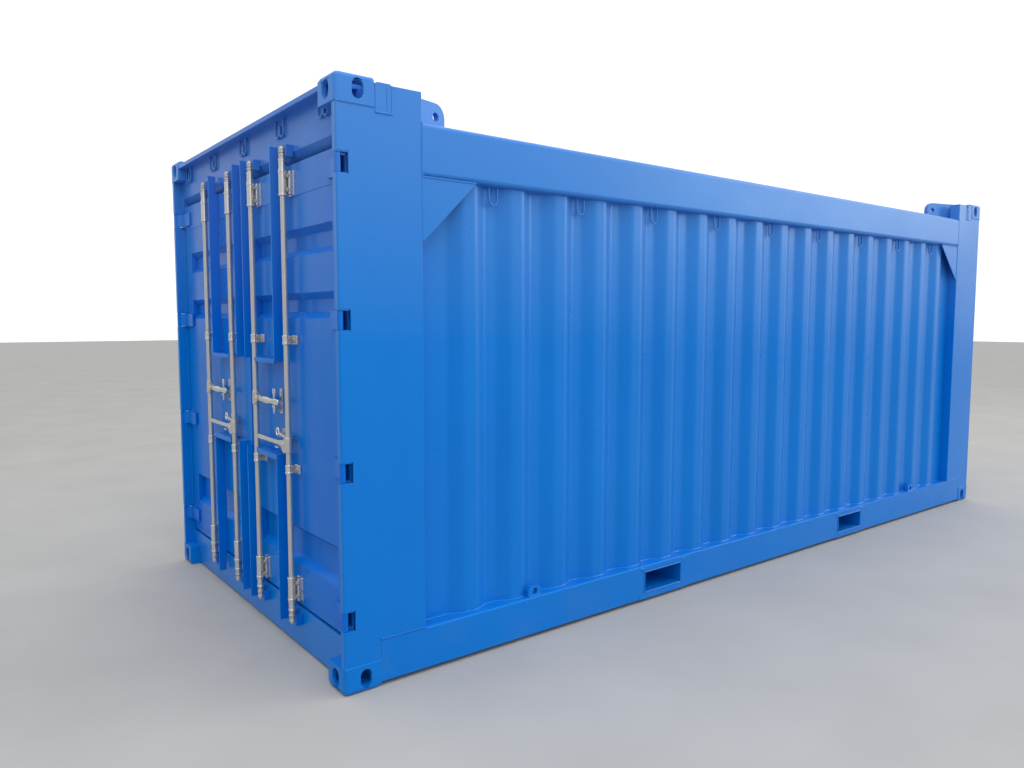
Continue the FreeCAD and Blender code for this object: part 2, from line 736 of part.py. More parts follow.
# --- tarpaulin loops -----------------------------------------------------------------------------
def tarp_loop(name, place, top, axis):
    """A staple hanging under a rail, its legs spread along one axis."""
    bend = DOC.addObject("Part::Torus", name + "_bend")
    bind(bend, "Radius1", loop_radius)
    bind(bend, "Radius2", loop_rod)
    bend.Angle3 = 180
    turn = FreeCAD.Rotation(FreeCAD.Vector(1, 0, 0), -90)
    if axis == "y":
        turn = FreeCAD.Rotation(FreeCAD.Vector(0, 0, 1), 90).multiply(turn)
    bend.Placement = FreeCAD.Placement(FreeCAD.Vector(), turn)
    low = top - loop_leg
    for letter, value in zip("xyz", (place[0], place[1], low)):
        bind(bend, f"Placement.Base.{letter}", value)
    legs = []
    for number, sign in enumerate((-1, 1)):
        shift = loop_radius * sign
        centre = (place[0] + shift, place[1]) if axis == "x" else (place[0], place[1] + shift)
        legs.append(rod(f"{name}_leg{number}", loop_rod, "z", centre, low, top))
    return fuse(name, bend, *legs)


loop_depth = crest_depth + loop_rod
loops = []
for side_name, side in SIDES.items():
    for step in range(-side_loops_each_way, side_loops_each_way + 1):
        loops.append(tarp_loop(f"loop_{side_name}_{step + side_loops_each_way}",
                               (wave_pitch * 2 * step, across(side, loop_depth)),
                               top_rail_low, "x"))
loop_pitch = (across(1, cast_wide) - loop_margin) / header_loops_each_way
for step in range(-header_loops_each_way, header_loops_each_way + 1):
    loops.append(tarp_loop(f"loop_header_{step + header_loops_each_way}",
                           (along(-1, loop_front), loop_pitch * step),
                           visor_low, "y"))
node("tarp_loops", *loops)

# --- roof bows -----------------------------------------------------------------------------------
bow_top = top_rail_high - bow_drop
bow_pitch = (length - post_end * 2) / (bow_count + 1)
node("roof_bows", *[
    tube(f"bow{step}", (bow_pitch * place - bow_wide / 2, bow_pitch * place + bow_wide / 2),
         (across(-1, top_rail_deep), across(1, top_rail_deep)), (bow_top - bow_high, bow_top),
         sheet_wall, "y")
    for step, place in enumerate(number - (bow_count - 1) / 2 for number in range(bow_count))])

# --- hinge pins and cam keepers ----------------------------------------------------------------------
node("hinge_pins", *[
    rod(f"hinge_pin_{side_name}_{step}", pin_radius, "z",
        (along(-1, hinge_u), across(side, hinge_v)),
        middle - notch_high / 2 - lug_high, middle + notch_high / 2 + lug_high)
    for side_name, side in SIDES.items() for step, middle in enumerate(hinge_heights)])


def keeper(name, y, low, high):
    """A back plate and two cheeks, open in front of the cam."""
    back = box(name + "_back", (along(-1, frame_plane - keeper_plate), along(-1, frame_plane)),
               (y - keeper_wide, y + keeper_wide), (low, high))
    cheeks = []
    for number, sign in enumerate((-1, 1)):
        outer_y = y + keeper_wide * sign
        cheeks.append(box(f"{name}_cheek{number}",
                          (along(-1, rod_depth), along(-1, frame_plane - keeper_plate)),
                          (outer_y, outer_y - keeper_plate * sign), (low, high)))
    return fuse(name, back, *cheeks)


keepers = []
for side_name, side in SIDES.items():
    for rod_name, offset in RODS.items():
        keepers.append(keeper(f"keeper_top_{side_name}_{rod_name}", offset * side,
                              rod_high - keeper_margin,
                              rod_high + cam_high + keeper_margin))
        keepers.append(keeper(f"keeper_bottom_{side_name}_{rod_name}", offset * side,
                              rod_low - cam_high - keeper_margin,
                              rod_low + keeper_margin))
node("cam_keepers", *keepers)


# --- doors -----------------------------------------------------------------------------------------
leaf_outer = jamb + leaf_gap
leaf_low = sill_high + leaf_sill_gap
leaf_high = header_low - leaf_top_gap
leaf_back = leaf_plane + leaf_thick
leaf_front_x = along(-1, leaf_plane)
leaf_back_x = along(-1, leaf_back)


def door_frame(side_name, side):
    """Stiles and rails of one door leaf."""
    name = f"{side_name}_door_frame"
    ys = (across(side, leaf_outer), leaf_mid_gap / 2 * side)
    whole = box(name + "_block", (leaf_front_x, leaf_back_x), ys, (leaf_low, leaf_high))
    light = box(name + "_light", (leaf_front_x, leaf_back_x), panel_ys(side),
                (leaf_low + leaf_rail, leaf_high - leaf_rail))
    return cut(name, whole, light)


def panel_ys(side):
    """The two y edges of a door panel, between its stiles."""
    return (across(side, leaf_outer + stile_wide), (leaf_mid_gap / 2 + mid_stile) * side)


def door_panel(side_name, side):
    """The pressed sheet of a door, with three ribs sunk into it."""
    near = leaf_plane + panel_back
    deep = near + rib_deep
    front = [(near, leaf_low + leaf_rail)]
    for low, high in ((rib_lower_low, rib_lower_high), (rib_middle_low, rib_middle_high),
                      (rib_upper_low, rib_upper_high)):
        front += [(near, low), (deep, low + rib_slope), (deep, high - rib_slope), (near, high)]
    front += [(near, leaf_high - leaf_rail)]
    back = [(u + sheet_wall, z) for u, z in reversed(front)]
    points = [(along(-1, u), z) for u, z in front + back]
    return prism(f"{side_name}_door_panel", "xz", points, *panel_ys(side))


def door_gasket(side_name, side):
    """The rubber strip round the edge of a leaf."""
    name = f"{side_name}_door_gasket"
    front = leaf_plane + gasket_back
    xs = (along(-1, front), along(-1, front + gasket_thick))
    outer = box(name + "_outer", xs,
                (across(side, leaf_outer - gasket_wide), (leaf_mid_gap / 2 - gasket_mid) * side),
                (leaf_low - gasket_wide, leaf_high + gasket_wide))
    inner = box(name + "_inner", xs, (across(side, leaf_outer), leaf_mid_gap / 2 * side),
                (leaf_low, leaf_high))
    return cut(name, outer, inner)


def hinge_blade(name, side, middle):
    """A strap on the leaf that bends to its knuckle on the pin."""
    knuckle = rod(name + "_knuckle", knuckle_radius, "z",
                  (along(-1, hinge_u), across(side, hinge_v)),
                  middle - blade_high / 2, middle + blade_high / 2)
    strap_front = leaf_plane - blade_thick
    crank_v = leaf_outer + blade_crank
    points = [(hinge_u - root_forward, hinge_v + root_inward), (strap_front, crank_v),
              (strap_front, hinge_v + blade_long), (leaf_plane, hinge_v + blade_long),
              (leaf_plane, crank_v), (hinge_u + tail_back, hinge_v - tail_outward)]
    strap = prism(name + "_strap", "xy", placed(-1, side, points),
                  middle - blade_high / 2, middle + blade_high / 2)
    bore = rod(name + "_bore", pin_radius + pin_play, "z",
               (along(-1, hinge_u), across(side, hinge_v)),
               middle - blade_high / 2, middle + blade_high / 2)
    return cut(name, fuse(name + "_whole", knuckle, strap), bore)


def guard(name, offset, side, low, high):
    """A plate standing out from the leaf beside a lock rod, cut back past the leaf's end."""
    ys = (offset * side, (offset + guard_thick) * side)
    shelf = frame_plane - guard_step
    parts = [box(name + "_face", (along(-1, guard_front), along(-1, shelf)), ys, (low, high))]
    low_foot = leaf_low if float(low) < float(leaf_low) else low
    high_foot = leaf_high if float(high) > float(leaf_high) else high
    parts.append(box(name + "_foot", (along(-1, shelf), leaf_front_x), ys, (low_foot, high_foot)))
    return fuse(name, *parts)


def rod_guards(side_name, side):
    """The guard plates of one door: two above the handles, two below, and two shelves."""
    name = f"{side_name}_guard"
    made = []
    shelf_end = inner_rod + rod_radius + shelf_gap
    for level, low, high, shelf in (("upper", guard_upper_low, guard_upper_high, guard_upper_low),
                                    ("lower", guard_lower_low, guard_lower_high,
                                     guard_lower_high - guard_thick)):
        outer_plate = guard(f"{name}_{level}_outer", outer_guard, side, low, high)
        closing = box(f"{name}_{level}_shelf", (along(-1, guard_front), leaf_front_x),
                      (outer_guard * side, shelf_end * side), (shelf, shelf + guard_thick))
        made.append(fuse(f"{name}_{level}", outer_plate, closing))
        made.append(guard(f"{name}_{level}_inner", inner_guard, side, low, high))
    return made


def bearing(name, y, towards, radius, sleeve_span, foot_span, reach):
    """A sleeve round a lock rod and the plate that bolts it to the leaf."""
    low, high = sleeve_span
    middle = (along(-1, rod_depth), y)
    sleeve = rod(name + "_sleeve", radius, "z", middle, low, high)
    web = box(name + "_web", (along(-1, rod_depth), leaf_front_x),
              (y - bearing_web, y + bearing_web), foot_span)
    foot = box(name + "_foot", (along(-1, leaf_plane - bearing_plate), leaf_front_x),
               (y - radius * towards, y + reach * towards), foot_span)
    bore = rod(name + "_bore", rod_radius + rod_play, "z", middle, low, high)
    return cut(name, fuse(name + "_whole", sleeve, web, foot), bore)


def catch(name, y, middle):
    """The rest that a handle drops onto, with a horn that rises behind the handle."""
    ys = (y - catch_wide / 2, y + catch_wide / 2)
    low = middle - handle_wide / 2 - catch_gap
    front = rod_depth - handle_gap / 2 - handle_thick
    behind = rod_depth - handle_gap / 2 + catch_gap
    back = box(name + "_back", (along(-1, leaf_plane - bearing_plate), leaf_front_x), ys,
               (middle - catch_high, middle + catch_high))
    shelf = box(name + "_shelf", (along(-1, front), leaf_front_x), ys,
                (low - bearing_plate, low))
    horn = box(name + "_horn", (along(-1, behind), leaf_front_x), ys,
               (middle + catch_high - bearing_plate, middle + catch_high))
    return fuse(name, back, shelf, horn)


def handle_facts(side, rod_name):
    """A rod's handle: its height, its length, how far its catch lies and which way in y.

    Each door carries its high handle on the rod at its left as seen from outside, and
    its low handle on the other rod; both handles point at the middle of the door.
    """
    if (rod_name == "inner") == (side < 0):
        return upper_handle, upper_handle_long, upper_catch, -1
    return lower_handle, lower_handle_long, lower_catch, 1


def lock_fittings(side_name, side):
    """All that holds the rods and handles to one leaf."""
    made = []
    for rod_name, offset in RODS.items():
        name = f"{side_name}_{rod_name}"
        y = offset * side
        made.append(bearing(f"{name}_upper_bearing", y, side, sleeve_radius,
                            (upper_bearing_low, upper_bearing_high),
                            (upper_foot_low, upper_foot_high), bearing_reach))
        made.append(bearing(f"{name}_lower_bearing", y, side, sleeve_radius,
                            (lower_bearing_low, lower_bearing_high),
                            (lower_foot_low, lower_foot_high), bearing_reach))
        for level, middle in (("upper", upper_guide), ("lower", lower_guide)):
            span = (middle - guide_high / 2, middle + guide_high / 2)
            made.append(bearing(f"{name}_{level}_guide", y, side, guide_radius, span, span,
                                guide_reach))
        middle, _long, reach, towards = handle_facts(side, rod_name)
        made.append(catch(f"{name}_catch", y + reach * towards, middle))
    return made


def lock_rod(side_name, side, rod_name):
    """A lock rod with a cam at each end and the hub of its handle."""
    name = f"{side_name}_{rod_name}_lock_rod"
    y = RODS[rod_name] * side
    centre = (along(-1, rod_depth), y)
    bar = rod(name + "_bar", rod_radius, "z", centre, rod_low, rod_high)
    cams = []
    for level, low, high in (("top", rod_high, rod_high + cam_high),
                             ("bottom", rod_low - cam_high, rod_low)):
        disc = rod(f"{name}_{level}_disc", rod_radius, "z", centre, low, high)
        nose = box(f"{name}_{level}_nose",
                   (along(-1, rod_depth - nose_half), along(-1, rod_depth + nose_half)),
                   (y, y - cam_radius * side), (low + nose_inset, high - nose_inset))
        cams += [disc, nose]
    middle, _long, _reach, towards = handle_facts(side, rod_name)
    collar = rod(name + "_collar", hub_radius, "z", centre,
                 middle - hub_high / 2, middle + hub_high / 2)
    lug = box(name + "_lug", (along(-1, rod_depth + handle_gap / 2),
                              along(-1, rod_depth + handle_gap / 2 + hub_plate)),
              (y, y + (hub_reach + handle_wide / 2) * towards),
              (middle - handle_wide / 2, middle + handle_wide / 2))
    pivot = rod(name + "_pivot", pivot_radius, "x", (y + hub_reach * towards, middle),
                along(-1, rod_depth - handle_gap / 2 - handle_thick - pivot_proud),
                along(-1, rod_depth + handle_gap / 2 + hub_plate))
    return fuse(name, bar, collar, lug, pivot, *cams)


def lock_handle(side_name, side, rod_name):
    """A flat handle with its eye on the hub's pivot."""
    name = f"{side_name}_{rod_name}_handle"
    middle, long, _reach, towards = handle_facts(side, rod_name)
    pivot_y = RODS[rod_name] * side + hub_reach * towards
    back = rod_depth - handle_gap / 2
    xs = (along(-1, back - handle_thick), along(-1, back))
    eye = rod(name + "_eye", handle_wide / 2, "x", (pivot_y, middle), *xs)
    bar = box(name + "_bar", xs, (pivot_y, pivot_y + long * towards),
              (middle - handle_wide / 2 + handle_waist, middle + handle_wide / 2 - handle_waist))
    bore = rod(name + "_bore", pivot_radius + pivot_play, "x", (pivot_y, middle), *xs)
    return cut(name, fuse(name + "_whole", eye, bar), bore)


for side_name, side in SIDES.items():
    node(f"{side_name}_door_frame", door_frame(side_name, side))
    node(f"{side_name}_door_panel", door_panel(side_name, side))
    node(f"{side_name}_door_gasket", door_gasket(side_name, side))
    node(f"{side_name}_hinge_blades", *[
        hinge_blade(f"{side_name}_blade{step}", side, middle)
        for step, middle in enumerate(hinge_heights)])
    node(f"{side_name}_rod_guards", *rod_guards(side_name, side))
    node(f"{side_name}_lock_fittings", *lock_fittings(side_name, side))
    for rod_name in RODS:
        node(f"{side_name}_{rod_name}_lock_rod", lock_rod(side_name, side, rod_name))
        node(f"{side_name}_{rod_name}_handle", lock_handle(side_name, side, rod_name))


# --- check and write ---------------------------------------------------------------------------
DOC.recompute()
for thing in DOC.Objects:
    if "Invalid" in thing.State or "Error" in thing.State:
        raise RuntimeError(f"{thing.Label} failed: {thing.State}")
for sub_part in NODES:
    if sub_part.Shape.isNull() or not sub_part.Shape.isValid():
        raise RuntimeError(f"{sub_part.Label} has no valid shape")

os.makedirs("parts", exist_ok=True)
for sub_part in NODES:
    sub_part.Shape.exportStep(f"parts/{sub_part.Label}.step")
    print(sub_part.Label, len(sub_part.Shape.Solids), round(sub_part.Shape.Volume / 1e6, 3))
print(len(NODES), "nodes")
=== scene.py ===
import json
import math

import bmesh
import bpy
from bpy.props import FloatProperty, FloatVectorProperty, IntProperty, PointerProperty
from mathutils import Matrix, Vector

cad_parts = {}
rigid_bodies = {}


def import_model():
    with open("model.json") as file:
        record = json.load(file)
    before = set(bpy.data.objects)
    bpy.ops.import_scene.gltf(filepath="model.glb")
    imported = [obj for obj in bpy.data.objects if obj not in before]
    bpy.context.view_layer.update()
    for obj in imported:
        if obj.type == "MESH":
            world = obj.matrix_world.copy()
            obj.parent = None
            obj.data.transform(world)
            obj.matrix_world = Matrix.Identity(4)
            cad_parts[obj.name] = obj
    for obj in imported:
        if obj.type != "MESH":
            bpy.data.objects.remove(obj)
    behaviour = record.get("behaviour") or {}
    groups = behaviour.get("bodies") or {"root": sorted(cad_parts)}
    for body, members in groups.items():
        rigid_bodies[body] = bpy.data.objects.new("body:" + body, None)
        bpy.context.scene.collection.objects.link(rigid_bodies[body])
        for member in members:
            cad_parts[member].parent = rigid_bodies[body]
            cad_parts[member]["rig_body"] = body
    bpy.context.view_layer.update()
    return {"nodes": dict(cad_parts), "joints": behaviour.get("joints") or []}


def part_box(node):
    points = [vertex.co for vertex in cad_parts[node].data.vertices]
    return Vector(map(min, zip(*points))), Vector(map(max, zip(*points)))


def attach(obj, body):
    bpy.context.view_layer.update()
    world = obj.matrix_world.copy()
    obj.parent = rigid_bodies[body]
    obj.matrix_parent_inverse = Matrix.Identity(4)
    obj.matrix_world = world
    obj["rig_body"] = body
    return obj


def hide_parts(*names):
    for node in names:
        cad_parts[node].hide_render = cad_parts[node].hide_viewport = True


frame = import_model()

bl_info = {
    "name": "Open-top Freight Container",
    "version": (1, 0, 0),
    "blender": (4, 5, 0),
    "location": "3D View > Sidebar > Container",
    "description": "Shapes and finishes the steel, doors, lock gear and floor "
                   "of a freight container",
    "category": "Object",
}

BOX = {name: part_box(name) for name in frame["nodes"]}
BODY = {name: node["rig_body"] for name, node in frame["nodes"].items()}
JOINT = {joint["name"]: joint for joint in frame["joints"]}
SIDES = {"right": -1, "left": 1}
HALF = BOX["top_corner_castings"][1]
POST_LONG = HALF.x - BOX["top_side_rails"][1].x
CAST_LONG = 0.178
CAST_HIGH = 0.118
LEDGE = BOX["bottom_side_rail_right"][1].z
RAIL_LOW = BOX["top_side_rails"][0].z
FACE = HALF.y - 0.004  # outer face of the posts and rails
HINGES = [0.322 + 0.637 * step for step in range(4)]  # heights of their middles
POCKET_HALF = 0.1525
HANDLE_SPLIT = 1.1  # the upper handles are above this height, the lower ones below
WALL_CREST, WALL_VALLEY = 0.038, 0.072  # how far the side walls' waves lie inward
GLOSS_TINT = (0.35, 0.75, 1.0, 1.0)


# --- sizes and colours a user would change ---------------------------------------
def length(name, words, default, low=0.0):
    """A size property in metres."""
    return FloatProperty(name=name, description=words, default=default, min=low, unit="LENGTH")


def colour(name, words, default):
    """A colour property."""
    return FloatVectorProperty(name=name, description=words, default=default, subtype="COLOR",
                               size=3, min=0.0, max=1.0)


class ContainerPaint(bpy.types.PropertyGroup):
    """Colours of the container's finishes."""

    body: colour("Body Paint", "Gloss paint of the walls, posts and rails", (0.0, 0.172, 0.64))
    body_light: colour("Light Paint", "Where the paint lies thinner", (0.0, 0.188, 0.675))
    # Painted shade: the door end's paint is a darker, more saturated copy of the body paint,
    # standing in for the shade on the door end.
    door: colour("Door Shaded Paint", "Gloss paint of the door end", (0.0, 0.138, 0.65))
    rust: colour("Rust", "Rust at chips and scrapes", (0.13, 0.045, 0.015))
    dust: colour("Dust", "Dry road dust low on the steel", (0.25, 0.24, 0.22))
    # Painted sky reflection: the pale colour that the paint is blended toward near the top.
    top_sheen: colour("Top Sheen", "Paint bleached by the sun at the top", (0.45, 0.56, 0.72))
    zinc: colour("Zinc", "Galvanised lock gear", (0.61, 0.60, 0.575))
    rubber: colour("Rubber", "Door seals", (0.018, 0.018, 0.02))
    board: colour("Floor Board", "Oiled floor boards", (0.20, 0.115, 0.055))


class ContainerSteel(bpy.types.PropertyGroup):
    """Edge and wall sizes."""

    plate_edge: length("Plate Edge", "Rounding of sheared plate edges", 0.0018)
    fold_edge: length("Fold Edge", "Outer radius of folded sections", 0.008)
    cast_edge: length("Cast Edge", "Outer rounding of the corner castings", 0.021)
    rail_round: length("Rail Corner", "Corner radius of the hollow top rails", 0.022)
    drip: length("Header Chamfer", "Chamfer along the header's lower edge", 0.038)
    pitch: length("Wave Pitch", "Spacing of the side wall waves", 0.277)
    crest: length("Wave Crest", "Width of each flat crest", 0.072)
    slope: length("Wave Slope", "Length of each slope along the wall", 0.068)
    end_pitch: length("End Wave Pitch", "Spacing of the end wall waves", 0.250)
    sheet: length("Sheet", "Thickness of the wall sheet", 0.003)
    bend: length("Bend", "How far a fold is spread", 0.010)
    buckle: length("Buckle", "Slow unevenness of the pressed sheets", 0.0016)
    weld: length("Weld", "Radius of a weld bead", 0.0048)


class ContainerFittings(bpy.types.PropertyGroup):
    """Fastener and floor sizes."""

    bolt: length("Bolt Head", "Radius of a hexagon head", 0.0085)
    bolt_high: length("Bolt Height", "Height of a hexagon head", 0.006)
    boards: IntProperty(name="Boards", description="Floor boards side by side", default=14, min=1)
    board_gap: length("Board Gap", "Joint between two boards", 0.003)


class ContainerStage(bpy.types.PropertyGroup):
    """Camera and light."""

    camera: FloatVectorProperty(name="Camera", description="Place of the camera", size=3,
                                default=(-4.40778, -4.15717, 1.59872), subtype="TRANSLATION",
                                unit="LENGTH")
    lens: FloatProperty(name="Lens", description="Focal length on a 36 mm frame", default=27.307)
    key: FloatProperty(name="Key", description="Power of the key light", default=340.0, min=0.0)
    fill: FloatProperty(name="Fill", description="Power of the fill light", default=50.0, min=0.0)
    sky: FloatProperty(name="Sky", description="Strength of the even light", default=1.15, min=0.0)


# --- materials --------------------------------------------------------------------
class Nodes:
    """A node tree under construction: makes nodes and links values to them."""

    def __init__(self, tree):
        self.nodes = tree.nodes
        self.links = tree.links

    def set(self, socket, value):
        """Link a value that is a socket, or store one that isn't."""
        if isinstance(value, bpy.types.NodeSocket):
            self.links.new(value, socket)
        else:
            socket.default_value = value

    def add(self, kind, inputs=(), **settings):
        """A node with its settings, and its inputs set or linked by name or number."""
        node = self.nodes.new(kind)
        for key, value in settings.items():
            setattr(node, key, value)
        for key, value in dict(inputs).items():
            for item in value if isinstance(value, list) else [value]:
                self.set(node.inputs[key], item)
        return node

    def get(self, kind, inputs=(), **settings):
        """The first output of a new node."""
        return self.add(kind, inputs, **settings).outputs[0]

    def maths(self, operation, first, second=0.0, third=0.0):
        """One sum."""
        return self.get("ShaderNodeMath", {0: first, 1: second, 2: third}, operation=operation)


class Shading(Nodes):
    """A material under construction."""

    def __init__(self, name):
        self.material = bpy.data.materials.new(name)
        self.material.use_nodes = True
        super().__init__(self.material.node_tree)
        self.shader = self.nodes["Principled BSDF"]
        self.place = self.add("ShaderNodeTexCoord").outputs["Object"]

    def stretched(self, scale):
        """The object's coordinates, scaled along each axis."""
        return self.get("ShaderNodeMapping", {"Vector": self.place, "Scale": scale})

    def noise(self, scale, detail=3.0, roughness=0.55, vector=None):
        """Noise between 0 and 1."""
        node = self.add("ShaderNodeTexNoise", {"Vector": vector or self.place, "Scale": scale,
                                               "Detail": detail, "Roughness": roughness})
        return node.outputs["Fac"]

    def band(self, value, low, high, start=0.0, end=1.0):
        """A value squeezed from one range to another."""
        return self.get("ShaderNodeMapRange", {"Value": value, "From Min": low, "From Max": high,
                                               "To Min": start, "To Max": end})

    def blend(self, amount, first, second):
        """Two colours mixed by an amount."""
        node = self.add("ShaderNodeMix", data_type="RGBA")
        self.set(node.inputs[0], amount)
        for index, value in ((6, first), (7, second)):
            value = value if isinstance(value, bpy.types.NodeSocket) else (*value, 1.0)
            self.set(node.inputs[index], value)
        return node.outputs[2]

    def bump(self, height, strength, distance, below=None):
        """A bump normal."""
        inputs = {"Height": height, "Strength": strength, "Distance": distance}
        if below is not None:
            inputs["Normal"] = below
        return self.get("ShaderNodeBump", inputs)

    def finish(self, base, roughness, normal, constants):
        """Join the results to the shader and set what is the same all over."""
        self.set(self.shader.inputs["Base Color"], base)
        self.set(self.shader.inputs["Roughness"], roughness)
        if normal is not None:
            self.set(self.shader.inputs["Normal"], normal)
        for name, value in constants.items():
            self.shader.inputs[name].default_value = value
        return self.material


def painted_top_sheen(make, tone):
    """A tone lightened toward the top of the object by a painted sky reflection, and the height it
    follows.
    """
    top_sheen = bpy.context.scene.container_paint.top_sheen
    rise = make.add("ShaderNodeSeparateXYZ", {0: make.place}).outputs[2]
    # painted sky reflection: blend toward the pale top colour from 1.5 m to 2.5 m high
    return make.blend(make.band(rise, 1.5, 2.5, 0.0, 0.115), tone, top_sheen), rise


def gloss_paint(name, base, light, wear, streak=0.5, buckle=0.4, shine=0.44):
    """Gloss paint over steel: a painted sky reflection that lightens the top, rain streaks, low
    dust, chips and slow dents.
    """
    paint = bpy.context.scene.container_paint
    make = Shading(name)
    broad = make.band(make.noise(0.9, 4.0), 0.35, 0.7)
    tone = make.blend(broad, base, light)
    streaks = make.noise(1.0, 5.0, 0.6, make.stretched((7.0, 7.0, 0.5)))
    tone = make.blend(make.band(streaks, 0.48, 0.80, 0.0, streak * 0.4), tone,
                      [value * 0.72 for value in base])
    # painted sky reflection: the tone is lightened toward the top
    tone, rise = painted_top_sheen(make, tone)
    low = make.band(rise, 0.0, 0.30, 1.0, 0.0)
    dusty = make.maths("MULTIPLY", low, make.band(make.noise(5.0, 6.0), 0.45, 0.80, 0.0, 0.10))
    tone = make.blend(dusty, tone, paint.dust)
    chips = make.band(make.noise(60.0, 4.0, 0.65), 0.70, 0.72)
    where = make.band(make.noise(2.1, 3.0), 0.60, 0.70, 0.0, wear)
    chips = make.maths("MULTIPLY", chips, where)
    tone = make.blend(chips, tone, paint.rust)
    rough = make.band(make.noise(3.3, 4.0), 0.3, 0.75, 0.26, 0.36)
    rough = make.maths("ADD", rough, make.maths("MULTIPLY", dusty, 0.3))
    rough = make.maths("ADD", rough, make.maths("MULTIPLY", chips, 0.35))
    slow = make.bump(make.noise(2.4, 1.0), buckle, 0.012)
    peel = make.bump(make.noise(420.0, 1.0), 0.03, 0.001, slow)
    pitted = make.bump(chips, 0.4, -0.0008, peel)
    return make.finish(tone, rough, pitted, {"Coat Weight": 0.08, "Coat Roughness": 0.07,
                                             "Specular IOR Level": shine,
                                             "Specular Tint": GLOSS_TINT})


def cast_paint(name, base, light):
    """Paint over rough cast steel, rubbed bare where locks and hooks go in."""
    paint = bpy.context.scene.container_paint
    make = Shading(name)
    tone = make.blend(make.band(make.noise(5.0, 4.0), 0.35, 0.68), base, light)
    # painted sky reflection: the tone is lightened toward the top
    tone = painted_top_sheen(make, tone)[0]
    rubbed = make.band(make.noise(24.0, 5.0, 0.6), 0.70, 0.73, 0.0, 0.5)
    tone = make.blend(rubbed, tone, paint.rust)
    rough = make.maths("ADD", make.band(make.noise(9.0), 0.3, 0.7, 0.34, 0.48),
                       make.maths("MULTIPLY", rubbed, 0.3))
    grain = make.bump(make.noise(110.0, 4.0), 0.16, 0.0015)
    return make.finish(tone, rough, grain, {"Coat Weight": 0.05, "Coat Roughness": 0.15,
                                            "Specular IOR Level": 0.4,
                                            "Specular Tint": GLOSS_TINT})


def zinc_coat(name, base, dull=0.0, metal=0.70):
    """Hot-dip zinc: faint crystals, dull patches and a little rust bleed."""
    paint = bpy.context.scene.container_paint
    make = Shading(name)
    cells = make.add("ShaderNodeTexVoronoi", {"Vector": make.place, "Scale": 95.0})
    crystal = make.get("ShaderNodeSeparateColor", {0: cells.outputs["Color"]})
    tone = make.blend(make.band(crystal, 0.0, 1.0, 0.0, 0.35), base,
                      [value * 0.80 for value in base])
    patch = make.band(make.noise(8.0, 4.0), 0.45, 0.7, 0.0, 0.45)
    tone = make.blend(patch, tone, [value * 0.88 for value in base])
    bleed = make.band(make.noise(26.0, 5.0, 0.65, make.stretched((1.0, 1.0, 0.35))), 0.66, 0.72,
                      0.0, 0.35)
    tone = make.blend(bleed, tone, paint.rust)
    rough = make.maths("ADD", make.band(patch, 0.0, 0.45, 0.32 + dull, 0.48 + dull),
                       make.maths("MULTIPLY", bleed, 0.2))
    grain = make.bump(make.noise(160.0, 3.0), 0.12, 0.001)
    return make.finish(tone, rough, grain, {"Metallic": metal, "Specular IOR Level": 0.5})


def seal_rubber(name):
    """Black rubber, greyed by dust and slightly moulded."""
    paint = bpy.context.scene.container_paint
    make = Shading(name)
    tone = make.blend(make.band(make.noise(7.0, 4.0), 0.4, 0.75, 0.0, 0.35), paint.rubber,
                      (0.09, 0.088, 0.085))
    rough = make.band(make.noise(14.0), 0.3, 0.7, 0.55, 0.78)
    return make.finish(tone, rough, make.bump(make.noise(220.0, 2.0), 0.15, 0.001), {})


def oiled_board(name):
    """Hardwood boards: grain along the box, scuffs and dark joints."""
    paint = bpy.context.scene.container_paint
    make = Shading(name)
    grain = make.noise(1.0, 7.0, 0.62, make.stretched((1.6, 46.0, 20.0)))
    tone = make.blend(make.band(grain, 0.32, 0.70), [value * 0.55 for value in paint.board],
                      [min(1.0, value * 1.45) for value in paint.board])
    patch = make.noise(1.0, 2.0, 0.5, make.stretched((0.35, 6.2, 1.0)))
    tone = make.blend(make.band(patch, 0.35, 0.7, 0.0, 0.45), tone, (0.30, 0.20, 0.12))
    scuff = make.band(make.noise(9.0, 6.0, 0.7, make.stretched((0.5, 1.6, 1.0))), 0.57, 0.70,
                      0.0, 0.5)
    tone = make.blend(scuff, tone, (0.30, 0.27, 0.23))
    rough = make.band(grain, 0.3, 0.7, 0.50, 0.74)
    normal = make.bump(grain, 0.30, 0.0012)
    return make.finish(tone, rough, normal, {})


def stage_floor(name):
    """Pale matt ground with a faint unevenness."""
    make = Shading(name)
    tone = make.blend(make.band(make.noise(1.3, 4.0), 0.3, 0.7), (0.40, 0.40, 0.395),
                      (0.44, 0.44, 0.435))
    rough = make.band(make.noise(3.0), 0.3, 0.7, 0.78, 0.88)
    return make.finish(tone, rough, make.bump(make.noise(60.0), 0.03, 0.001), {})


FINISH = {}


def finish(name):
    """The shared material of that name, made the first time it is asked for."""
    if name not in FINISH:
        paint = bpy.context.scene.container_paint
        base, light, door = tuple(paint.body), tuple(paint.body_light), tuple(paint.door)
        makers = {
            "wall_paint": lambda: gloss_paint("wall_paint", base, light, 0.12, 0.5, 0.20),
            "frame_paint": lambda: gloss_paint("frame_paint", base, light, 0.2, 0.3, 0.22),
            # painted shade: the door end gets a darker copy of the body paint
            "door_shaded_paint": lambda: gloss_paint("door_shaded_paint", door, light, 0.12, 0.4, 0.3, 0.15),
            "casting_paint": lambda: cast_paint("casting_paint", base, light),
            "lock_zinc": lambda: zinc_coat("lock_zinc", tuple(paint.zinc)),
            "forged_zinc": lambda: zinc_coat("forged_zinc", [v * 1.2 for v in paint.zinc],
                                             -0.12, 0.85),
            "bolt_zinc": lambda: zinc_coat("bolt_zinc", [v * 0.85 for v in paint.zinc], 0.05),
            "seal_rubber": lambda: seal_rubber("seal_rubber"),
            "oiled_board": lambda: oiled_board("oiled_board"),
            "stage_floor": lambda: stage_floor("stage_floor"),
        }
        FINISH[name] = makers[name]()
    return FINISH[name]


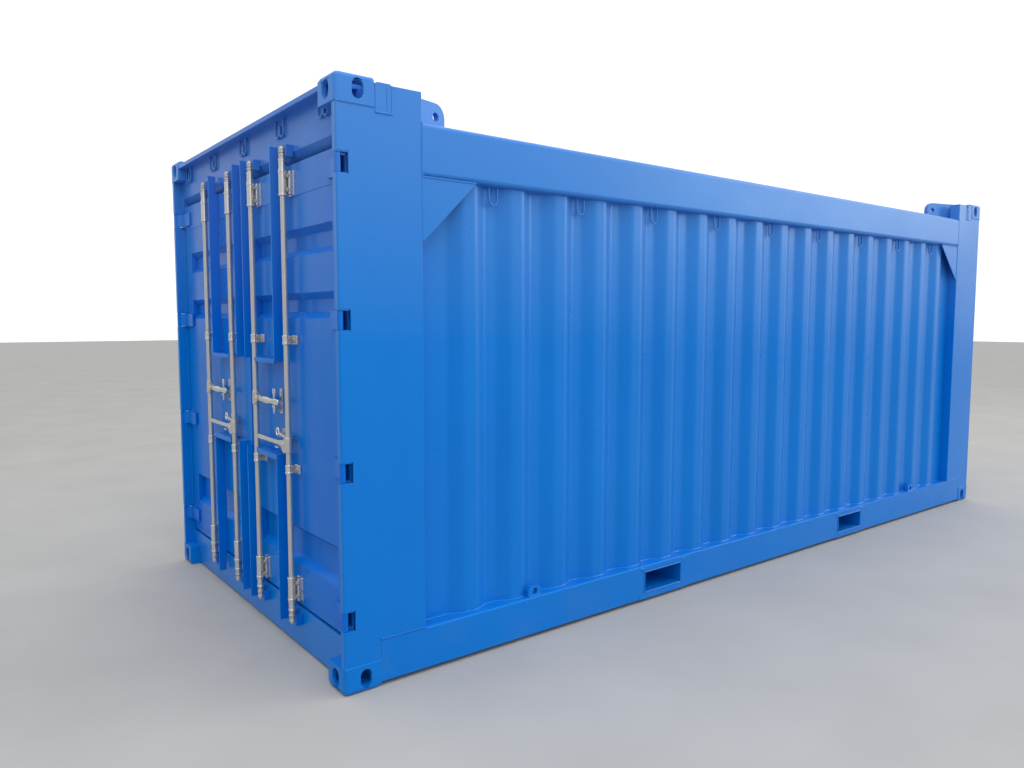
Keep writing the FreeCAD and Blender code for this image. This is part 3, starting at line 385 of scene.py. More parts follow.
# --- mesh helpers ---------------------------------------------------------------------
def sharp_edges(mesh, angle):
    """Edges whose faces meet at more than an angle, in degrees."""
    limit = math.radians(angle)
    return [edge for edge in mesh.edges
            if len(edge.link_faces) == 2 and edge.calc_face_angle(0.0) > limit]


def add_object(name, data):
    """A new object in the scene."""
    made = bpy.data.objects.new(name, data)
    bpy.context.scene.collection.objects.link(made)
    return made


def solid(name, mesh, material="frame_paint", body="container", replaces=(),
          angle=38.0):
    """Turn a finished bmesh into a piece with even shading that rides on a body."""
    for face in mesh.faces:
        face.smooth = True
    for edge in sharp_edges(mesh, angle):
        edge.smooth = False
    data = bpy.data.meshes.new(name)
    mesh.to_mesh(data)
    mesh.free()
    rough = add_object(name + "_rough", data)
    weighted = rough.modifiers.new("Even shading", "WEIGHTED_NORMAL")
    weighted.keep_sharp = True
    weighted.weight = 80
    return baked(name, rough, finish(material), body, replaces)


def skin(node, suffix, mesh, material="frame_paint"):
    """A piece that is shown in place of a CAD node."""
    return solid(node + suffix, mesh, material, BODY[node], (node,))


def baked(name, rough, material, body, replaces=()):
    """Turn an object with live modifiers into a plain piece that rides on a body."""
    graph = bpy.context.evaluated_depsgraph_get()
    graph.update()
    data = bpy.data.meshes.new_from_object(rough.evaluated_get(graph), depsgraph=graph)
    data.name = name
    old = rough.data
    bpy.data.objects.remove(rough)
    if old.users == 0:
        bpy.data.meshes.remove(old)
    if not data.polygons:
        raise RuntimeError(f"{name} came out empty")
    data.materials.clear()
    data.materials.append(material)
    piece = add_object(name, data)
    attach(piece, body)
    if replaces:
        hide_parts(*replaces)
    return piece


def clean_copy(node):
    """A merged copy of a CAD node's mesh, with its flat faces whole."""
    mesh = bmesh.new()
    mesh.from_mesh(frame["nodes"][node].data)
    bmesh.ops.remove_doubles(mesh, verts=mesh.verts, dist=2e-5)
    bmesh.ops.dissolve_limit(mesh, angle_limit=math.radians(0.6), verts=mesh.verts,
                             edges=mesh.edges)
    return mesh


def rounded(mesh, edges, radius, segments):
    """Round some edges of a bmesh."""
    bmesh.ops.bevel(mesh, geom=edges, offset=radius, offset_type="OFFSET", segments=segments,
                    profile=0.5, affect="EDGES", clamp_overlap=False)


def softened(node, width, material, folds=(), angle=42.0, suffix="_steel"):
    """A CAD node's own shape with its edges rounded; folds pairs a test with a radius."""
    mesh = clean_copy(node)
    for chosen, radius, segments in folds:
        edges = [edge for edge in sharp_edges(mesh, angle)
                 if chosen(edge.verts[0].co, edge.verts[1].co)]
        rounded(mesh, edges, radius, segments)
    if width:
        rounded(mesh, sharp_edges(mesh, angle), width, 2)
    return skin(node, suffix, mesh, material)


def on_plane(axis, value, slack=0.0006):
    """A test that both ends of an edge lie on a plane, on either side of the middle."""
    return lambda first, second: (abs(abs(first[axis]) - value) < slack
                                  and abs(abs(second[axis]) - value) < slack)


def both(*tests):
    """A test that passes where all the others do."""
    return lambda first, second: all(test(first, second) for test in tests)


def loose_boxes(node):
    """Lowest and highest corners of each separate solid of a CAD node, in a fixed order."""
    mesh = clean_copy(node)
    left, boxes = set(mesh.verts), []
    while left:
        heap, island = [left.pop()], []
        while heap:
            point = heap.pop()
            island.append(point.co.copy())
            for edge in point.link_edges:
                other = edge.other_vert(point)
                if other in left:
                    left.remove(other)
                    heap.append(other)
        boxes.append((Vector([min(point[axis] for point in island) for axis in range(3)]),
                      Vector([max(point[axis] for point in island) for axis in range(3)])))
    mesh.free()
    return sorted(boxes, key=lambda pair: [round(value, 3) for value in reversed(pair[0])])


def arc(centre, radius, start, end, steps=10):
    """Points along an arc, its angles in degrees."""
    turns = [math.radians(start + (end - start) * step / steps) for step in range(steps + 1)]
    return [(centre[0] + radius * math.cos(turn), centre[1] + radius * math.sin(turn))
            for turn in turns]


def plate(mesh, loops, axis, low, high, edge=0.0012):
    """Add a flat plate with rounded edges; its first loop is the outline, others are holes.

    Loop points lie in the other two axes, in X, Y, Z order, and the plate fills low to high.
    """
    curve = bpy.data.curves.new("outline", "CURVE")
    curve.dimensions = "2D"
    curve.fill_mode = "BOTH"
    curve.extrude = (high - low) / 2 - edge
    curve.bevel_depth = edge
    curve.bevel_resolution = 1
    curve.offset = -edge
    for loop in loops:
        spline = curve.splines.new("POLY")
        spline.points.add(len(loop) - 1)
        for point, (first, second) in zip(spline.points, loop):
            point.co = (first, second, 0.0, 1.0)
        spline.use_cyclic_u = True
    rough = add_object("outline", curve)
    graph = bpy.context.evaluated_depsgraph_get()
    graph.update()
    data = bpy.data.meshes.new_from_object(rough.evaluated_get(graph))
    bpy.data.objects.remove(rough)
    bpy.data.curves.remove(curve)
    facing = {0: Matrix(((0, 0, 1), (1, 0, 0), (0, 1, 0))),
              1: Matrix(((1, 0, 0), (0, 0, -1), (0, 1, 0))), 2: Matrix.Identity(3)}[axis]
    middle = Vector((0.0, 0.0, 0.0))
    middle[axis] = (low + high) / 2
    data.transform(Matrix.Translation(middle) @ facing.to_4x4())
    piece = bmesh.new()
    piece.from_mesh(data)
    bmesh.ops.remove_doubles(piece, verts=piece.verts, dist=1e-6)
    bmesh.ops.recalc_face_normals(piece, faces=piece.faces)
    piece.to_mesh(data)
    piece.free()
    mesh.from_mesh(data)
    bpy.data.meshes.remove(data)


def oblong(low, high, radius, steps=4):
    """Outline of a rectangle with round corners."""
    low, high = [min(a, b) for a, b in zip(low, high)], [max(a, b) for a, b in zip(low, high)]
    points = []
    turns = ((high[0], high[1], 0), (low[0], high[1], 1), (low[0], low[1], 2),
             (high[0], low[1], 3))
    for x, y, quarter in turns:
        cx = x - radius if quarter in (0, 3) else x + radius
        cy = y - radius if quarter in (0, 1) else y + radius
        for step in range(steps + 1):
            turn = math.pi / 2 * (quarter + step / steps)
            points.append((cx + radius * math.cos(turn), cy + radius * math.sin(turn)))
    return points


def tube_mesh(mesh, low, high, axis, radius, wall):
    """Add a hollow section with round corners, open at both ends of an axis."""
    others = [index for index in range(3) if index != axis]
    outer_low, outer_high = [low[index] for index in others], [high[index] for index in others]
    rings = []
    for inset, corner in ((0.0, radius), (wall, max(radius - wall, 0.002))):
        loop = oblong([value + inset for value in outer_low],
                      [value - inset for value in outer_high], corner)
        for place in (low[axis], high[axis]):
            ring = []
            for first, second in loop:
                point = [0.0, 0.0, 0.0]
                point[axis], point[others[0]], point[others[1]] = place, first, second
                ring.append(mesh.verts.new(point))
            rings.append(ring)
    outer_start, outer_end, inner_start, inner_end = rings
    made = []
    for first, second in ((outer_start, outer_end), (inner_end, inner_start),
                          (outer_end, inner_end), (inner_start, outer_start)):
        count = len(first)
        for step in range(count):
            onward = (step + 1) % count
            made.append(mesh.faces.new((first[step], first[onward], second[onward],
                                        second[step])))
    bmesh.ops.recalc_face_normals(mesh, faces=made)


def block(mesh, low, high):
    """Add a box between two corners."""
    low, high = [min(a, b) for a, b in zip(low, high)], [max(a, b) for a, b in zip(low, high)]
    size = [b - a for a, b in zip(low, high)]
    middle = [(a + b) / 2 for a, b in zip(low, high)]
    place = Matrix.Translation(middle) @ Matrix.Diagonal((*size, 1.0))
    return bmesh.ops.create_cube(mesh, size=1.0, matrix=place)["verts"]


def bar(mesh, start, end, radius, sides=24, tip=None):
    """Add a round bar between two points."""
    start, end = Vector(start), Vector(end)
    along = end - start
    turn = along.to_track_quat("Z", "Y").to_matrix().to_4x4()
    place = Matrix.Translation((start + end) / 2) @ turn
    return bmesh.ops.create_cone(mesh, cap_ends=True, segments=sides, radius1=radius,
                                 radius2=radius if tip is None else tip, depth=along.length,
                                 matrix=place)["verts"]


def turned(mesh, centre, profile, sides=28):
    """Revolve a closed profile of (radius, height) points about an upright axis."""
    rings = []
    for radius, height in profile:
        turns = [math.tau * step / sides for step in range(sides)] if radius else [0.0]
        rings.append([mesh.verts.new((centre[0] + radius * math.cos(turn),
                                      centre[1] + radius * math.sin(turn), height))
                      for turn in turns])
    made = []
    for first, second in zip(rings, rings[1:] + rings[:1]):
        for step in range(sides):
            onward = (step + 1) % sides
            ring = [first[step % len(first)], first[onward % len(first)],
                    second[onward % len(second)], second[step % len(second)]]
            corners = list(dict.fromkeys(ring))
            if len(corners) > 2:
                made.append(mesh.faces.new(corners))
    bmesh.ops.recalc_face_normals(mesh, faces=made)


def collared(low, high, bore, waist, rim, band):
    """Profile of a sleeve with a raised band at each end."""
    edge = 0.0015
    return [(bore, low), (rim - edge, low), (rim, low + edge), (rim, low + band),
            (waist, low + band + edge), (waist, high - band - edge), (rim, high - band),
            (rim, high - edge), (rim - edge, high), (bore, high)]


def depth(inward):
    """X of a place a distance inward from the door end."""
    return -HALF.x + inward


def sweep(mesh, points, radius, sides=8):
    """Add a round wire through points, closed at its ends."""
    points = [Vector(point) for point in points]
    rings = []
    normal = None
    for index, point in enumerate(points):
        before = points[max(index - 1, 0)]
        after = points[min(index + 1, len(points) - 1)]
        along = (after - before).normalized()
        if normal is None:
            helper = Vector((0, 0, 1)) if abs(along.z) < 0.9 else Vector((1, 0, 0))
            normal = along.cross(helper).normalized()
        normal = (normal - along * normal.dot(along)).normalized()
        side = along.cross(normal)
        rings.append([mesh.verts.new(point + (normal * math.cos(turn) + side * math.sin(turn))
                                     * radius)
                      for turn in (math.tau * step / sides for step in range(sides))])
    made = [mesh.faces.new(rings[0]), mesh.faces.new(rings[-1])]
    for first, second in zip(rings, rings[1:]):
        for step in range(sides):
            onward = (step + 1) % sides
            made.append(mesh.faces.new((first[step], first[onward], second[onward],
                                        second[step])))
    bmesh.ops.recalc_face_normals(mesh, faces=made)


# --- geometry nodes ---------------------------------------------------------------------
class Tree(Nodes):
    """A geometry node tree under construction."""

    KINDS = {"float": "NodeSocketFloat", "count": "NodeSocketInt",
             "material": "NodeSocketMaterial", "shape": "NodeSocketGeometry"}

    def __init__(self, name, inputs):
        self.group = bpy.data.node_groups.new(name, "GeometryNodeTree")
        self.group.is_modifier = True
        face = self.group.interface
        self.sockets = {}
        for label, kind, value in inputs:
            socket = face.new_socket(label, in_out="INPUT", socket_type=self.KINDS[kind])
            if value is not None:
                socket.default_value = value
            self.sockets[label] = socket.identifier
        face.new_socket("Geometry", in_out="OUTPUT", socket_type="NodeSocketGeometry")
        super().__init__(self.group)
        self.start = self.nodes.new("NodeGroupInput")
        self.end = self.nodes.new("NodeGroupOutput")

    def __getitem__(self, label):
        """One of the tree's own inputs."""
        return self.start.outputs[label]

    def close(self, geometry):
        """Realise instances, set the material and end the tree."""
        real = self.get("GeometryNodeRealizeInstances", {"Geometry": geometry})
        done = self.get("GeometryNodeSetMaterial",
                        {"Geometry": real, "Material": self["Material"]})
        self.links.new(done, self.end.inputs[0])
        return self

    def grow(self, name, values, data, body, slot, replaces=(), smooth=True):
        """Run the tree on a mesh and keep the result as a plain piece."""
        if data is None:
            data = bpy.data.meshes.new(name + "_seed")
        rough = add_object(name + "_rough", data)
        modifier = rough.modifiers.new(self.group.name, "NODES")
        modifier.node_group = self.group
        for label, value in values.items():
            modifier[self.sockets[label]] = value
        piece = baked(name, rough, values["Material"], body, replaces)
        if smooth:
            for face in piece.data.polygons:
                face.use_smooth = True
            piece.data.set_sharp_from_angle(angle=math.radians(40.0))
        return piece


def wave_tree():
    """A wall sheet pressed into waves, with rounded folds and a slow unevenness."""
    tree = Tree("Pressed wall", [
        ("Length", "float", 5.0), ("Height", "float", 2.0), ("Columns", "count", 600),
        ("Rows", "count", 20), ("Pitch", "float", 0.277), ("Valley", "float", 0.07),
        ("Slope", "float", 0.068), ("Depth", "float", 0.036), ("Margin", "float", 0.2),
        ("Bend", "float", 0.01), ("Buckle", "float", 0.001), ("Sheet", "float", 0.003),
        ("Seed", "float", 1.0), ("Material", "material", None)])
    grid = tree.add("GeometryNodeMeshGrid", {
        "Size X": tree["Length"], "Size Y": tree["Height"],
        "Vertices X": tree["Columns"], "Vertices Y": tree["Rows"]}).outputs["Mesh"]
    place = tree.get("GeometryNodeInputPosition")
    parts = tree.add("ShaderNodeSeparateXYZ", {0: place})
    along, up = parts.outputs[0], parts.outputs[1]
    half = tree.maths("MULTIPLY", tree["Pitch"], 0.5)
    half_valley = tree.maths("MULTIPLY", tree["Valley"], 0.5)
    foot = tree.maths("ADD", half_valley, tree["Slope"])
    reach = tree.maths("SUBTRACT", tree.maths("MULTIPLY", tree["Length"], 0.5),
                       tree["Margin"])
    depths = []
    for shift in (-1.0, -0.33, 0.33, 1.0):
        here = tree.maths("MULTIPLY_ADD", tree["Bend"], shift, along)
        folded = tree.maths("PINGPONG", here, half)
        inner = tree.get("ShaderNodeMapRange", {
            "Value": folded, "From Min": half_valley, "From Max": foot,
            "To Min": 1.0, "To Max": 0.0})
        away = tree.maths("SUBTRACT", tree.maths("ABSOLUTE", here), reach)
        edge = tree.get("ShaderNodeMapRange", {
            "Value": away, "From Min": 0.0, "From Max": tree["Slope"],
            "To Min": 0.0, "To Max": 1.0})
        depths.append(tree.maths("MAXIMUM", inner, edge))
    total = depths[0]
    for more in depths[1:]:
        total = tree.maths("ADD", total, more)
    level = tree.maths("MULTIPLY", tree.maths("MULTIPLY", total, 0.25), tree["Depth"])
    drift = tree.get("ShaderNodeTexNoise", {
        "Vector": place, "W": tree["Seed"], "Scale": 1.7, "Detail": 1.0},
        noise_dimensions="4D")
    uneven = tree.maths("MULTIPLY", tree.maths("SUBTRACT", drift, 0.5), tree["Buckle"])
    level = tree.maths("ADD", level, tree.maths("MULTIPLY", uneven, 2.0))
    moved = tree.get("ShaderNodeCombineXYZ", {0: along, 1: level, 2: up})
    sheet = tree.get("GeometryNodeSetPosition",
                     {"Geometry": grid, "Position": moved})
    back = tree.add("GeometryNodeExtrudeMesh", {
        "Mesh": sheet, "Offset": (0.0, 1.0, 0.0), "Offset Scale": tree["Sheet"],
        "Individual": False}, mode="FACES").outputs["Mesh"]
    front = tree.get("GeometryNodeFlipFaces", {"Mesh": sheet})
    joined = tree.get("GeometryNodeJoinGeometry", {"Geometry": [back, front]})
    closed = tree.get("GeometryNodeMergeByDistance",
                      {"Geometry": joined, "Distance": 1e-5})
    return tree.close(closed)


def bead_tree():
    """Weld beads along the edges of a mesh of lines."""
    tree = Tree("Weld bead", [("Shape", "shape", None), ("Radius", "float", 0.005),
                              ("Step", "float", 0.012), ("Ripple", "float", 0.16),
                              ("Material", "material", None)])
    lines = tree.get("GeometryNodeMeshToCurve", {"Mesh": tree["Shape"]})
    lines = tree.get("GeometryNodeResampleCurve", {"Curve": lines, "Length": tree["Step"]},
                     mode="LENGTH")
    index = tree.get("GeometryNodeInputIndex")
    wave = tree.maths("SINE", tree.maths("MULTIPLY", index, 1.9))
    scale = tree.maths("MULTIPLY_ADD", wave, tree["Ripple"], 1.0)
    radius = tree.maths("MULTIPLY", scale, tree["Radius"])
    lines = tree.get("GeometryNodeSetCurveRadius", {"Curve": lines, "Radius": radius})
    ring = tree.get("GeometryNodeCurvePrimitiveCircle",
                    {"Resolution": 6, "Radius": 1.0}, mode="RADIUS")
    settings = {"Curve": lines, "Profile Curve": ring, "Fill Caps": True}
    tube = tree.add("GeometryNodeCurveToMesh", settings)
    if "Scale" in tube.inputs:
        tree.links.new(radius, tube.inputs["Scale"])
    return tree.close(tube.outputs[0])


def bolt_tree():
    """A washer and hexagon head at each point, facing out of the doors."""
    tree = Tree("Bolt heads", [("Shape", "shape", None), ("Radius", "float", 0.0085),
                               ("Height", "float", 0.006), ("Material", "material", None)])
    washer = tree.get("GeometryNodeMeshCylinder", {
        "Vertices": 14, "Radius": tree.maths("MULTIPLY", tree["Radius"], 1.45),
        "Depth": 0.003})
    head = tree.get("GeometryNodeMeshCylinder", {
        "Vertices": 6, "Radius": tree["Radius"], "Depth": tree["Height"]})
    lift = tree.get("ShaderNodeCombineXYZ", {
        2: tree.maths("MULTIPLY_ADD", tree["Height"], 0.5, 0.0015)})
    head = tree.get("GeometryNodeTransform", {"Geometry": head, "Translation": lift})
    bolt = tree.get("GeometryNodeJoinGeometry", {"Geometry": [washer, head]})
    points = tree.get("GeometryNodeMeshToPoints", {"Mesh": tree["Shape"]})
    turn = tree.add("FunctionNodeRandomValue", {"Min": 0.0, "Max": 1.0, "Seed": 7},
                    data_type="FLOAT")
    spin = tree.get("ShaderNodeCombineXYZ", {0: turn.outputs[1]})
    face = tree.get("FunctionNodeEulerToRotation", {0: (0.0, -math.pi / 2, 0.0)})
    spun = tree.get("FunctionNodeRotateRotation", {
        0: face, 1: tree.get("FunctionNodeEulerToRotation", {0: spin})})
    placed = tree.get("GeometryNodeInstanceOnPoints", {
        "Points": points, "Instance": bolt, "Rotation": spun})
    return tree.close(placed)


def board_tree():
    """Boards side by side along the floor, each set a hair differently."""
    tree = Tree("Floor boards", [
        ("Length", "float", 5.0), ("Width", "float", 2.0), ("Thickness", "float", 0.024),
        ("Boards", "count", 14), ("Gap", "float", 0.003), ("Step", "float", 0.0008),
        ("Seed", "count", 3), ("Material", "material", None)])
    each = tree.maths("DIVIDE", tree["Width"], tree["Boards"])
    first = tree.maths("MULTIPLY_ADD", tree["Width"], -0.5,
                       tree.maths("MULTIPLY", each, 0.5))
    row = tree.get("GeometryNodeMeshLine", {
        "Count": tree["Boards"],
        "Start Location": tree.get("ShaderNodeCombineXYZ", {1: first}),
        "Offset": tree.get("ShaderNodeCombineXYZ", {1: each})},
        mode="OFFSET")
    size = tree.get("ShaderNodeCombineXYZ", {
        0: tree["Length"], 1: tree.maths("SUBTRACT", each, tree["Gap"]),
        2: tree["Thickness"]})
    board = tree.get("GeometryNodeMeshCube", {
        "Size": size, "Vertices X": 13, "Vertices Y": 3})
    drop = tree.add("FunctionNodeRandomValue", {
        "Max": 0.0, "Min": tree.maths("MULTIPLY", tree["Step"], -1.0),
        "Seed": tree["Seed"]}, data_type="FLOAT")
    shift = tree.get("ShaderNodeCombineXYZ", {2: drop.outputs[1]})
    row = tree.get("GeometryNodeSetPosition", {"Geometry": row, "Offset": shift})
    placed = tree.get("GeometryNodeInstanceOnPoints",
                      {"Points": row, "Instance": board})
    return tree.close(placed)


TREES = {}


def tree_of(maker):
    """A tree made the first time it is asked for."""
    if maker not in TREES:
        TREES[maker] = maker()
    return TREES[maker]


def lines_mesh(name, paths):
    """A mesh of open lines, one for each path."""
    data = bpy.data.meshes.new(name)
    points, edges = [], []
    for path in paths:
        start = len(points)
        points += [tuple(point) for point in path]
        edges += [(start + step, start + step + 1) for step in range(len(path) - 1)]
    data.from_pydata(points, edges, [])
    return data


def weld_beads(name, paths, body, material="frame_paint", radius=None, slot="blue_paint"):
    """Weld beads along paths, as one piece."""
    steel = bpy.context.scene.container_steel
    return tree_of(bead_tree).grow(name, {"Radius": radius or steel.weld,
                                          "Material": finish(material)},
                                   lines_mesh(name + "_lines", paths), body, slot)


def bolts(name, points, body, material="bolt_zinc", slot="galvanised_steel", scale=1.0):
    """Bolt heads facing out of the doors, as one piece."""
    sizes = bpy.context.scene.container_fittings
    return tree_of(bolt_tree).grow(name, {"Radius": sizes.bolt * scale,
                                          "Height": sizes.bolt_high * scale,
                                          "Material": finish(material)},
                                   lines_mesh(name + "_points", [[point] for point in points]),
                                   body, slot, smooth=False)


# --- operators: steel box ------------------------------------------------------------------
CORNERS = [(end, side) for end in (-1, 1) for side in (-1, 1)]


class CONTAINER_OT_castings(bpy.types.Operator):
    """Cast corner fittings with rounded edges and apertures"""

    bl_idname = "container.castings"
    bl_label = "Corner Castings"

    def execute(self, context):
        steel = context.scene.container_steel

        def outer(first, second):
            """Edges where two outer planes of the box meet."""
            planes = ((0, (HALF.x,)), (1, (HALF.y,)), (2, (0.0, HALF.z)))
            return sum(any(on_plane(axis, value)(first, second) for value in values)
                       for axis, values in planes) > 1

        for node in ("top_corner_castings", "bottom_corner_castings"):
            softened(node, steel.plate_edge * 1.6, "casting_paint",
                     ((outer, steel.cast_edge, 4),), suffix="_cast")
        paths = []
        for end, side in CORNERS:
            behind, face = end * (HALF.x - CAST_LONG), side * FACE
            front = end * (HALF.x - 0.006)
            for level in (CAST_HIGH, HALF.z - CAST_HIGH):
                paths.append([(front, face, level), (behind, face, level)])
        weld_beads("casting_welds", paths, "container")
        return {"FINISHED"}


class CONTAINER_OT_posts(bpy.types.Operator):
    """Folded posts of both ends, with their doubler plates and seams"""

    bl_idname = "container.posts"
    bl_label = "Corner Posts"

    def execute(self, context):
        steel = context.scene.container_steel
        fold = both(on_plane(0, HALF.x - 0.004), on_plane(1, FACE))
        rear = both(on_plane(0, HALF.x - POST_LONG), on_plane(1, FACE))
        crown = both(on_plane(1, FACE), on_plane(2, BOX["door_post_right"][1].z))
        for node in ("door_post_right", "door_post_left", "end_post_right", "end_post_left"):
            softened(node, steel.plate_edge, "frame_paint",
                     ((fold, steel.fold_edge, 4), (rear, steel.fold_edge * 0.7, 3),
                      (crown, steel.fold_edge * 0.7, 3)))
        plates = bmesh.new()
        paths = []
        for end, side in CORNERS:
            near, far = end * (HALF.x - CAST_LONG - 0.004), end * (HALF.x - 0.260)
            foot, crown = HALF.z - 0.138, HALF.z - 0.022
            outline = [(near, foot), (near, crown), (near - end * 0.012, crown + 0.006),
                       (far + end * 0.008, crown + 0.006), (far, crown - 0.002), (far, foot)]
            plate(plates, [outline], 1, side * FACE - side * 0.001, side * FACE + side * 0.0032)
            outside = side * (FACE + 0.001)
            paths.append([(near, outside, foot), (far, outside, foot)])
            for along in (0.238, 0.260):
                paths.append([(end * (HALF.x - along), outside, foot),
                              (end * (HALF.x - along), outside, crown)])
            rear = end * (HALF.x - POST_LONG)
            paths.append([(end * (HALF.x - CAST_LONG), side * FACE, LEDGE),
                          (rear, side * FACE, LEDGE)])
            paths.append([(rear, side * FACE, RAIL_LOW), (rear, side * FACE, HALF.z - 0.145)])
        solid("post_doublers", plates)
        weld_beads("post_seams", paths, "container", radius=steel.weld * 0.85)
        return {"FINISHED"}


class CONTAINER_OT_rails(bpy.types.Operator):
    """Hollow top rails with round corners, bottom rails and their ledge lugs"""

    bl_idname = "container.rails"
    bl_label = "Side Rails"

    def execute(self, context):
        steel = context.scene.container_steel
        low, high = BOX["top_side_rails"]
        mesh = bmesh.new()
        for side in SIDES.values():
            outer = low.y if side < 0 else high.y
            inner = outer - side * 0.108
            tube_mesh(mesh, (low.x, min(outer, inner), low.z),
                      (high.x, max(outer, inner), high.z), 0, steel.rail_round, 0.008)
        solid("top_side_rails_hollow", mesh, replaces=("top_side_rails",), angle=50.0)
        shoulder = both(on_plane(1, FACE), on_plane(2, LEDGE))
        for name in SIDES:
            softened(f"bottom_side_rail_{name}", steel.plate_edge, "frame_paint",
                     ((shoulder, steel.fold_edge * 1.5, 5),))
        lugs, strips, paths = bmesh.new(), bmesh.new(), []
        for side in SIDES.values():
            deep = side * (FACE - 0.008)
            for end in (-1, 1):
                middle = end * 1.979
                outline = [(middle - 0.042, LEDGE - 0.001), (middle + 0.042, LEDGE - 0.001),
                           (middle + 0.042, LEDGE + 0.032), (middle + 0.026, LEDGE + 0.050),
                           (middle - 0.026, LEDGE + 0.050), (middle - 0.042, LEDGE + 0.032)]
                hole = [(middle + x, LEDGE + z) for x, z in arc((0.0, 0.024), 0.016, 360, 0, 16)]
                plate(lugs, [outline, hole[:-1]], 1, deep, deep - side * 0.024, 0.002)
                paths.append([(middle - 0.04, deep, LEDGE), (middle + 0.04, deep, LEDGE)])
        for tunnel_low, tunnel_high in loose_boxes("forklift_tunnels"):
            middle = (tunnel_low.x + tunnel_high.x) / 2
            half = POCKET_HALF
            for side in SIDES.values():
                outside = side * (FACE + 0.0006)
                for reach, foot, top, proud in ((0.045, 0.018, 0.046, 0.002),
                                                (0.030, 0.1785, 0.200, 0.0022)):
                    strip = oblong((middle - half - reach, foot), (middle + half + reach, top),
                                   0.004)
                    plate(strips, [strip], 1, side * (FACE - 0.001), outside + side * proud)
                for level in (0.056, 0.174):
                    paths.append([(middle - half, outside, level),
                                  (middle + half, outside, level)])
                for way in (-1, 1):
                    edge = middle + way * (half + 0.002)
                    paths.append([(edge, outside, 0.056), (edge, outside, 0.174)])
                for way in (-1, 1):
                    mark = middle + way * (half + 0.022)
                    paths.append([(mark - 0.018, outside, 0.196),
                                  (mark + 0.018, outside, 0.196)])
        solid("ledge_lugs", lugs)
        solid("pocket_strips", strips)
        weld_beads("rail_welds", paths, "container", radius=steel.weld * 0.8)
        return {"FINISHED"}


class CONTAINER_OT_ends(bpy.types.Operator):
    """Header, sill and the closed end's rails"""

    bl_idname = "container.ends"
    bl_label = "End Rails"

    def execute(self, context):
        steel = context.scene.container_steel
        low, high = BOX["door_header"]
        front = HALF.x - 0.058
        drip = both(on_plane(0, front), on_plane(2, low.z))
        inside = both(on_plane(0, front - 0.008), on_plane(2, low.z + 0.008))
        nose = both(on_plane(0, HALF.x - 0.004), lambda first, second: first.z > high.z - 0.03)
        softened("door_header", steel.plate_edge, "door_shaded_paint",
                 ((drip, steel.drip, 1), (inside, steel.drip - 0.004, 1), (nose, 0.004, 3)))
        for node in ("door_sill", "end_top_rail", "end_bottom_rail"):
            softened(node, steel.plate_edge * 1.5, "frame_paint")
        return {"FINISHED"}


class CONTAINER_OT_walls(bpy.types.Operator):
    """Side and end walls pressed into waves"""

    bl_idname = "container.walls"
    bl_label = "Pressed Walls"

    def execute(self, context):
        steel = context.scene.container_steel
        tree = tree_of(wave_tree)
        for seed, node in enumerate(("side_wall_right", "side_wall_left", "end_wall")):
            low, high = BOX[node]
            middle = (low + high) / 2
            across_end = node == "end_wall"
            long = high.y - low.y if across_end else high.x - low.x
            pitch = steel.end_pitch if across_end else steel.pitch
            deep = (high.x - low.x if across_end else high.y - low.y) - steel.sheet
            valley = pitch - steel.crest - steel.slope * 2
            waves = int(long / 2 / pitch - 0.5)
            columns = int(round(long / (pitch / 36.0))) // 2 * 2 + 1
            piece = tree.grow(node + "_pressed", {
                "Length": long, "Height": high.z - low.z, "Columns": columns, "Rows": 22,
                "Pitch": pitch, "Valley": valley, "Slope": steel.slope, "Depth": deep,
                "Margin": long / 2 - (pitch * waves + pitch / 2 + steel.crest / 2),
                "Bend": steel.bend, "Buckle": steel.buckle, "Sheet": steel.sheet,
                "Seed": seed * 3.7 + 1.0, "Material": finish("wall_paint")},
                None, "container", "blue_paint", (node,))
            if across_end:
                turn = Matrix.Rotation(math.pi / 2, 4, "Z")
                place = Matrix.Translation((high.x, middle.y, middle.z)) @ turn
            elif middle.y < 0:
                place = Matrix.Translation((middle.x, low.y, middle.z))
            else:
                turn = Matrix.Rotation(math.pi, 4, "Z")
                place = Matrix.Translation((middle.x, high.y, middle.z)) @ turn
            piece.data.transform(place)
            piece.data.update()
        turns = [-HALF.x + POST_LONG + 0.004]
        for step in range(-8, 10):
            turns += [steel.pitch * (step - 0.5) + shift
                      for shift in (-steel.crest / 2 - steel.slope, -steel.crest / 2,
                                    steel.crest / 2, steel.crest / 2 + steel.slope)]
        inward = [WALL_VALLEY] + [WALL_VALLEY, WALL_CREST, WALL_CREST, WALL_VALLEY] * 18
        paths = [[(along, side * (HALF.y - deep + 0.001), LEDGE + 0.001)
                  for along, deep in zip(turns, inward)] + [(-turns[0], side * (HALF.y - 0.071),
                                                             LEDGE + 0.001)]
                 for side in SIDES.values()]
        weld_beads("wall_foot_welds", paths, "container", "wall_paint", steel.weld * 1.25)
        paths = []
        for end, side in CORNERS:
            stitch = end * (HALF.x - 0.445)
            paths += [[(stitch, side * (HALF.y - WALL_VALLEY), level),
                       (stitch, side * (HALF.y - WALL_VALLEY), level + 0.035)]
                      for level in (0.23 + 0.047 * step for step in range(42))]
        weld_beads("wall_stitches", paths, "container", "wall_paint", steel.weld * 0.7)
        return {"FINISHED"}


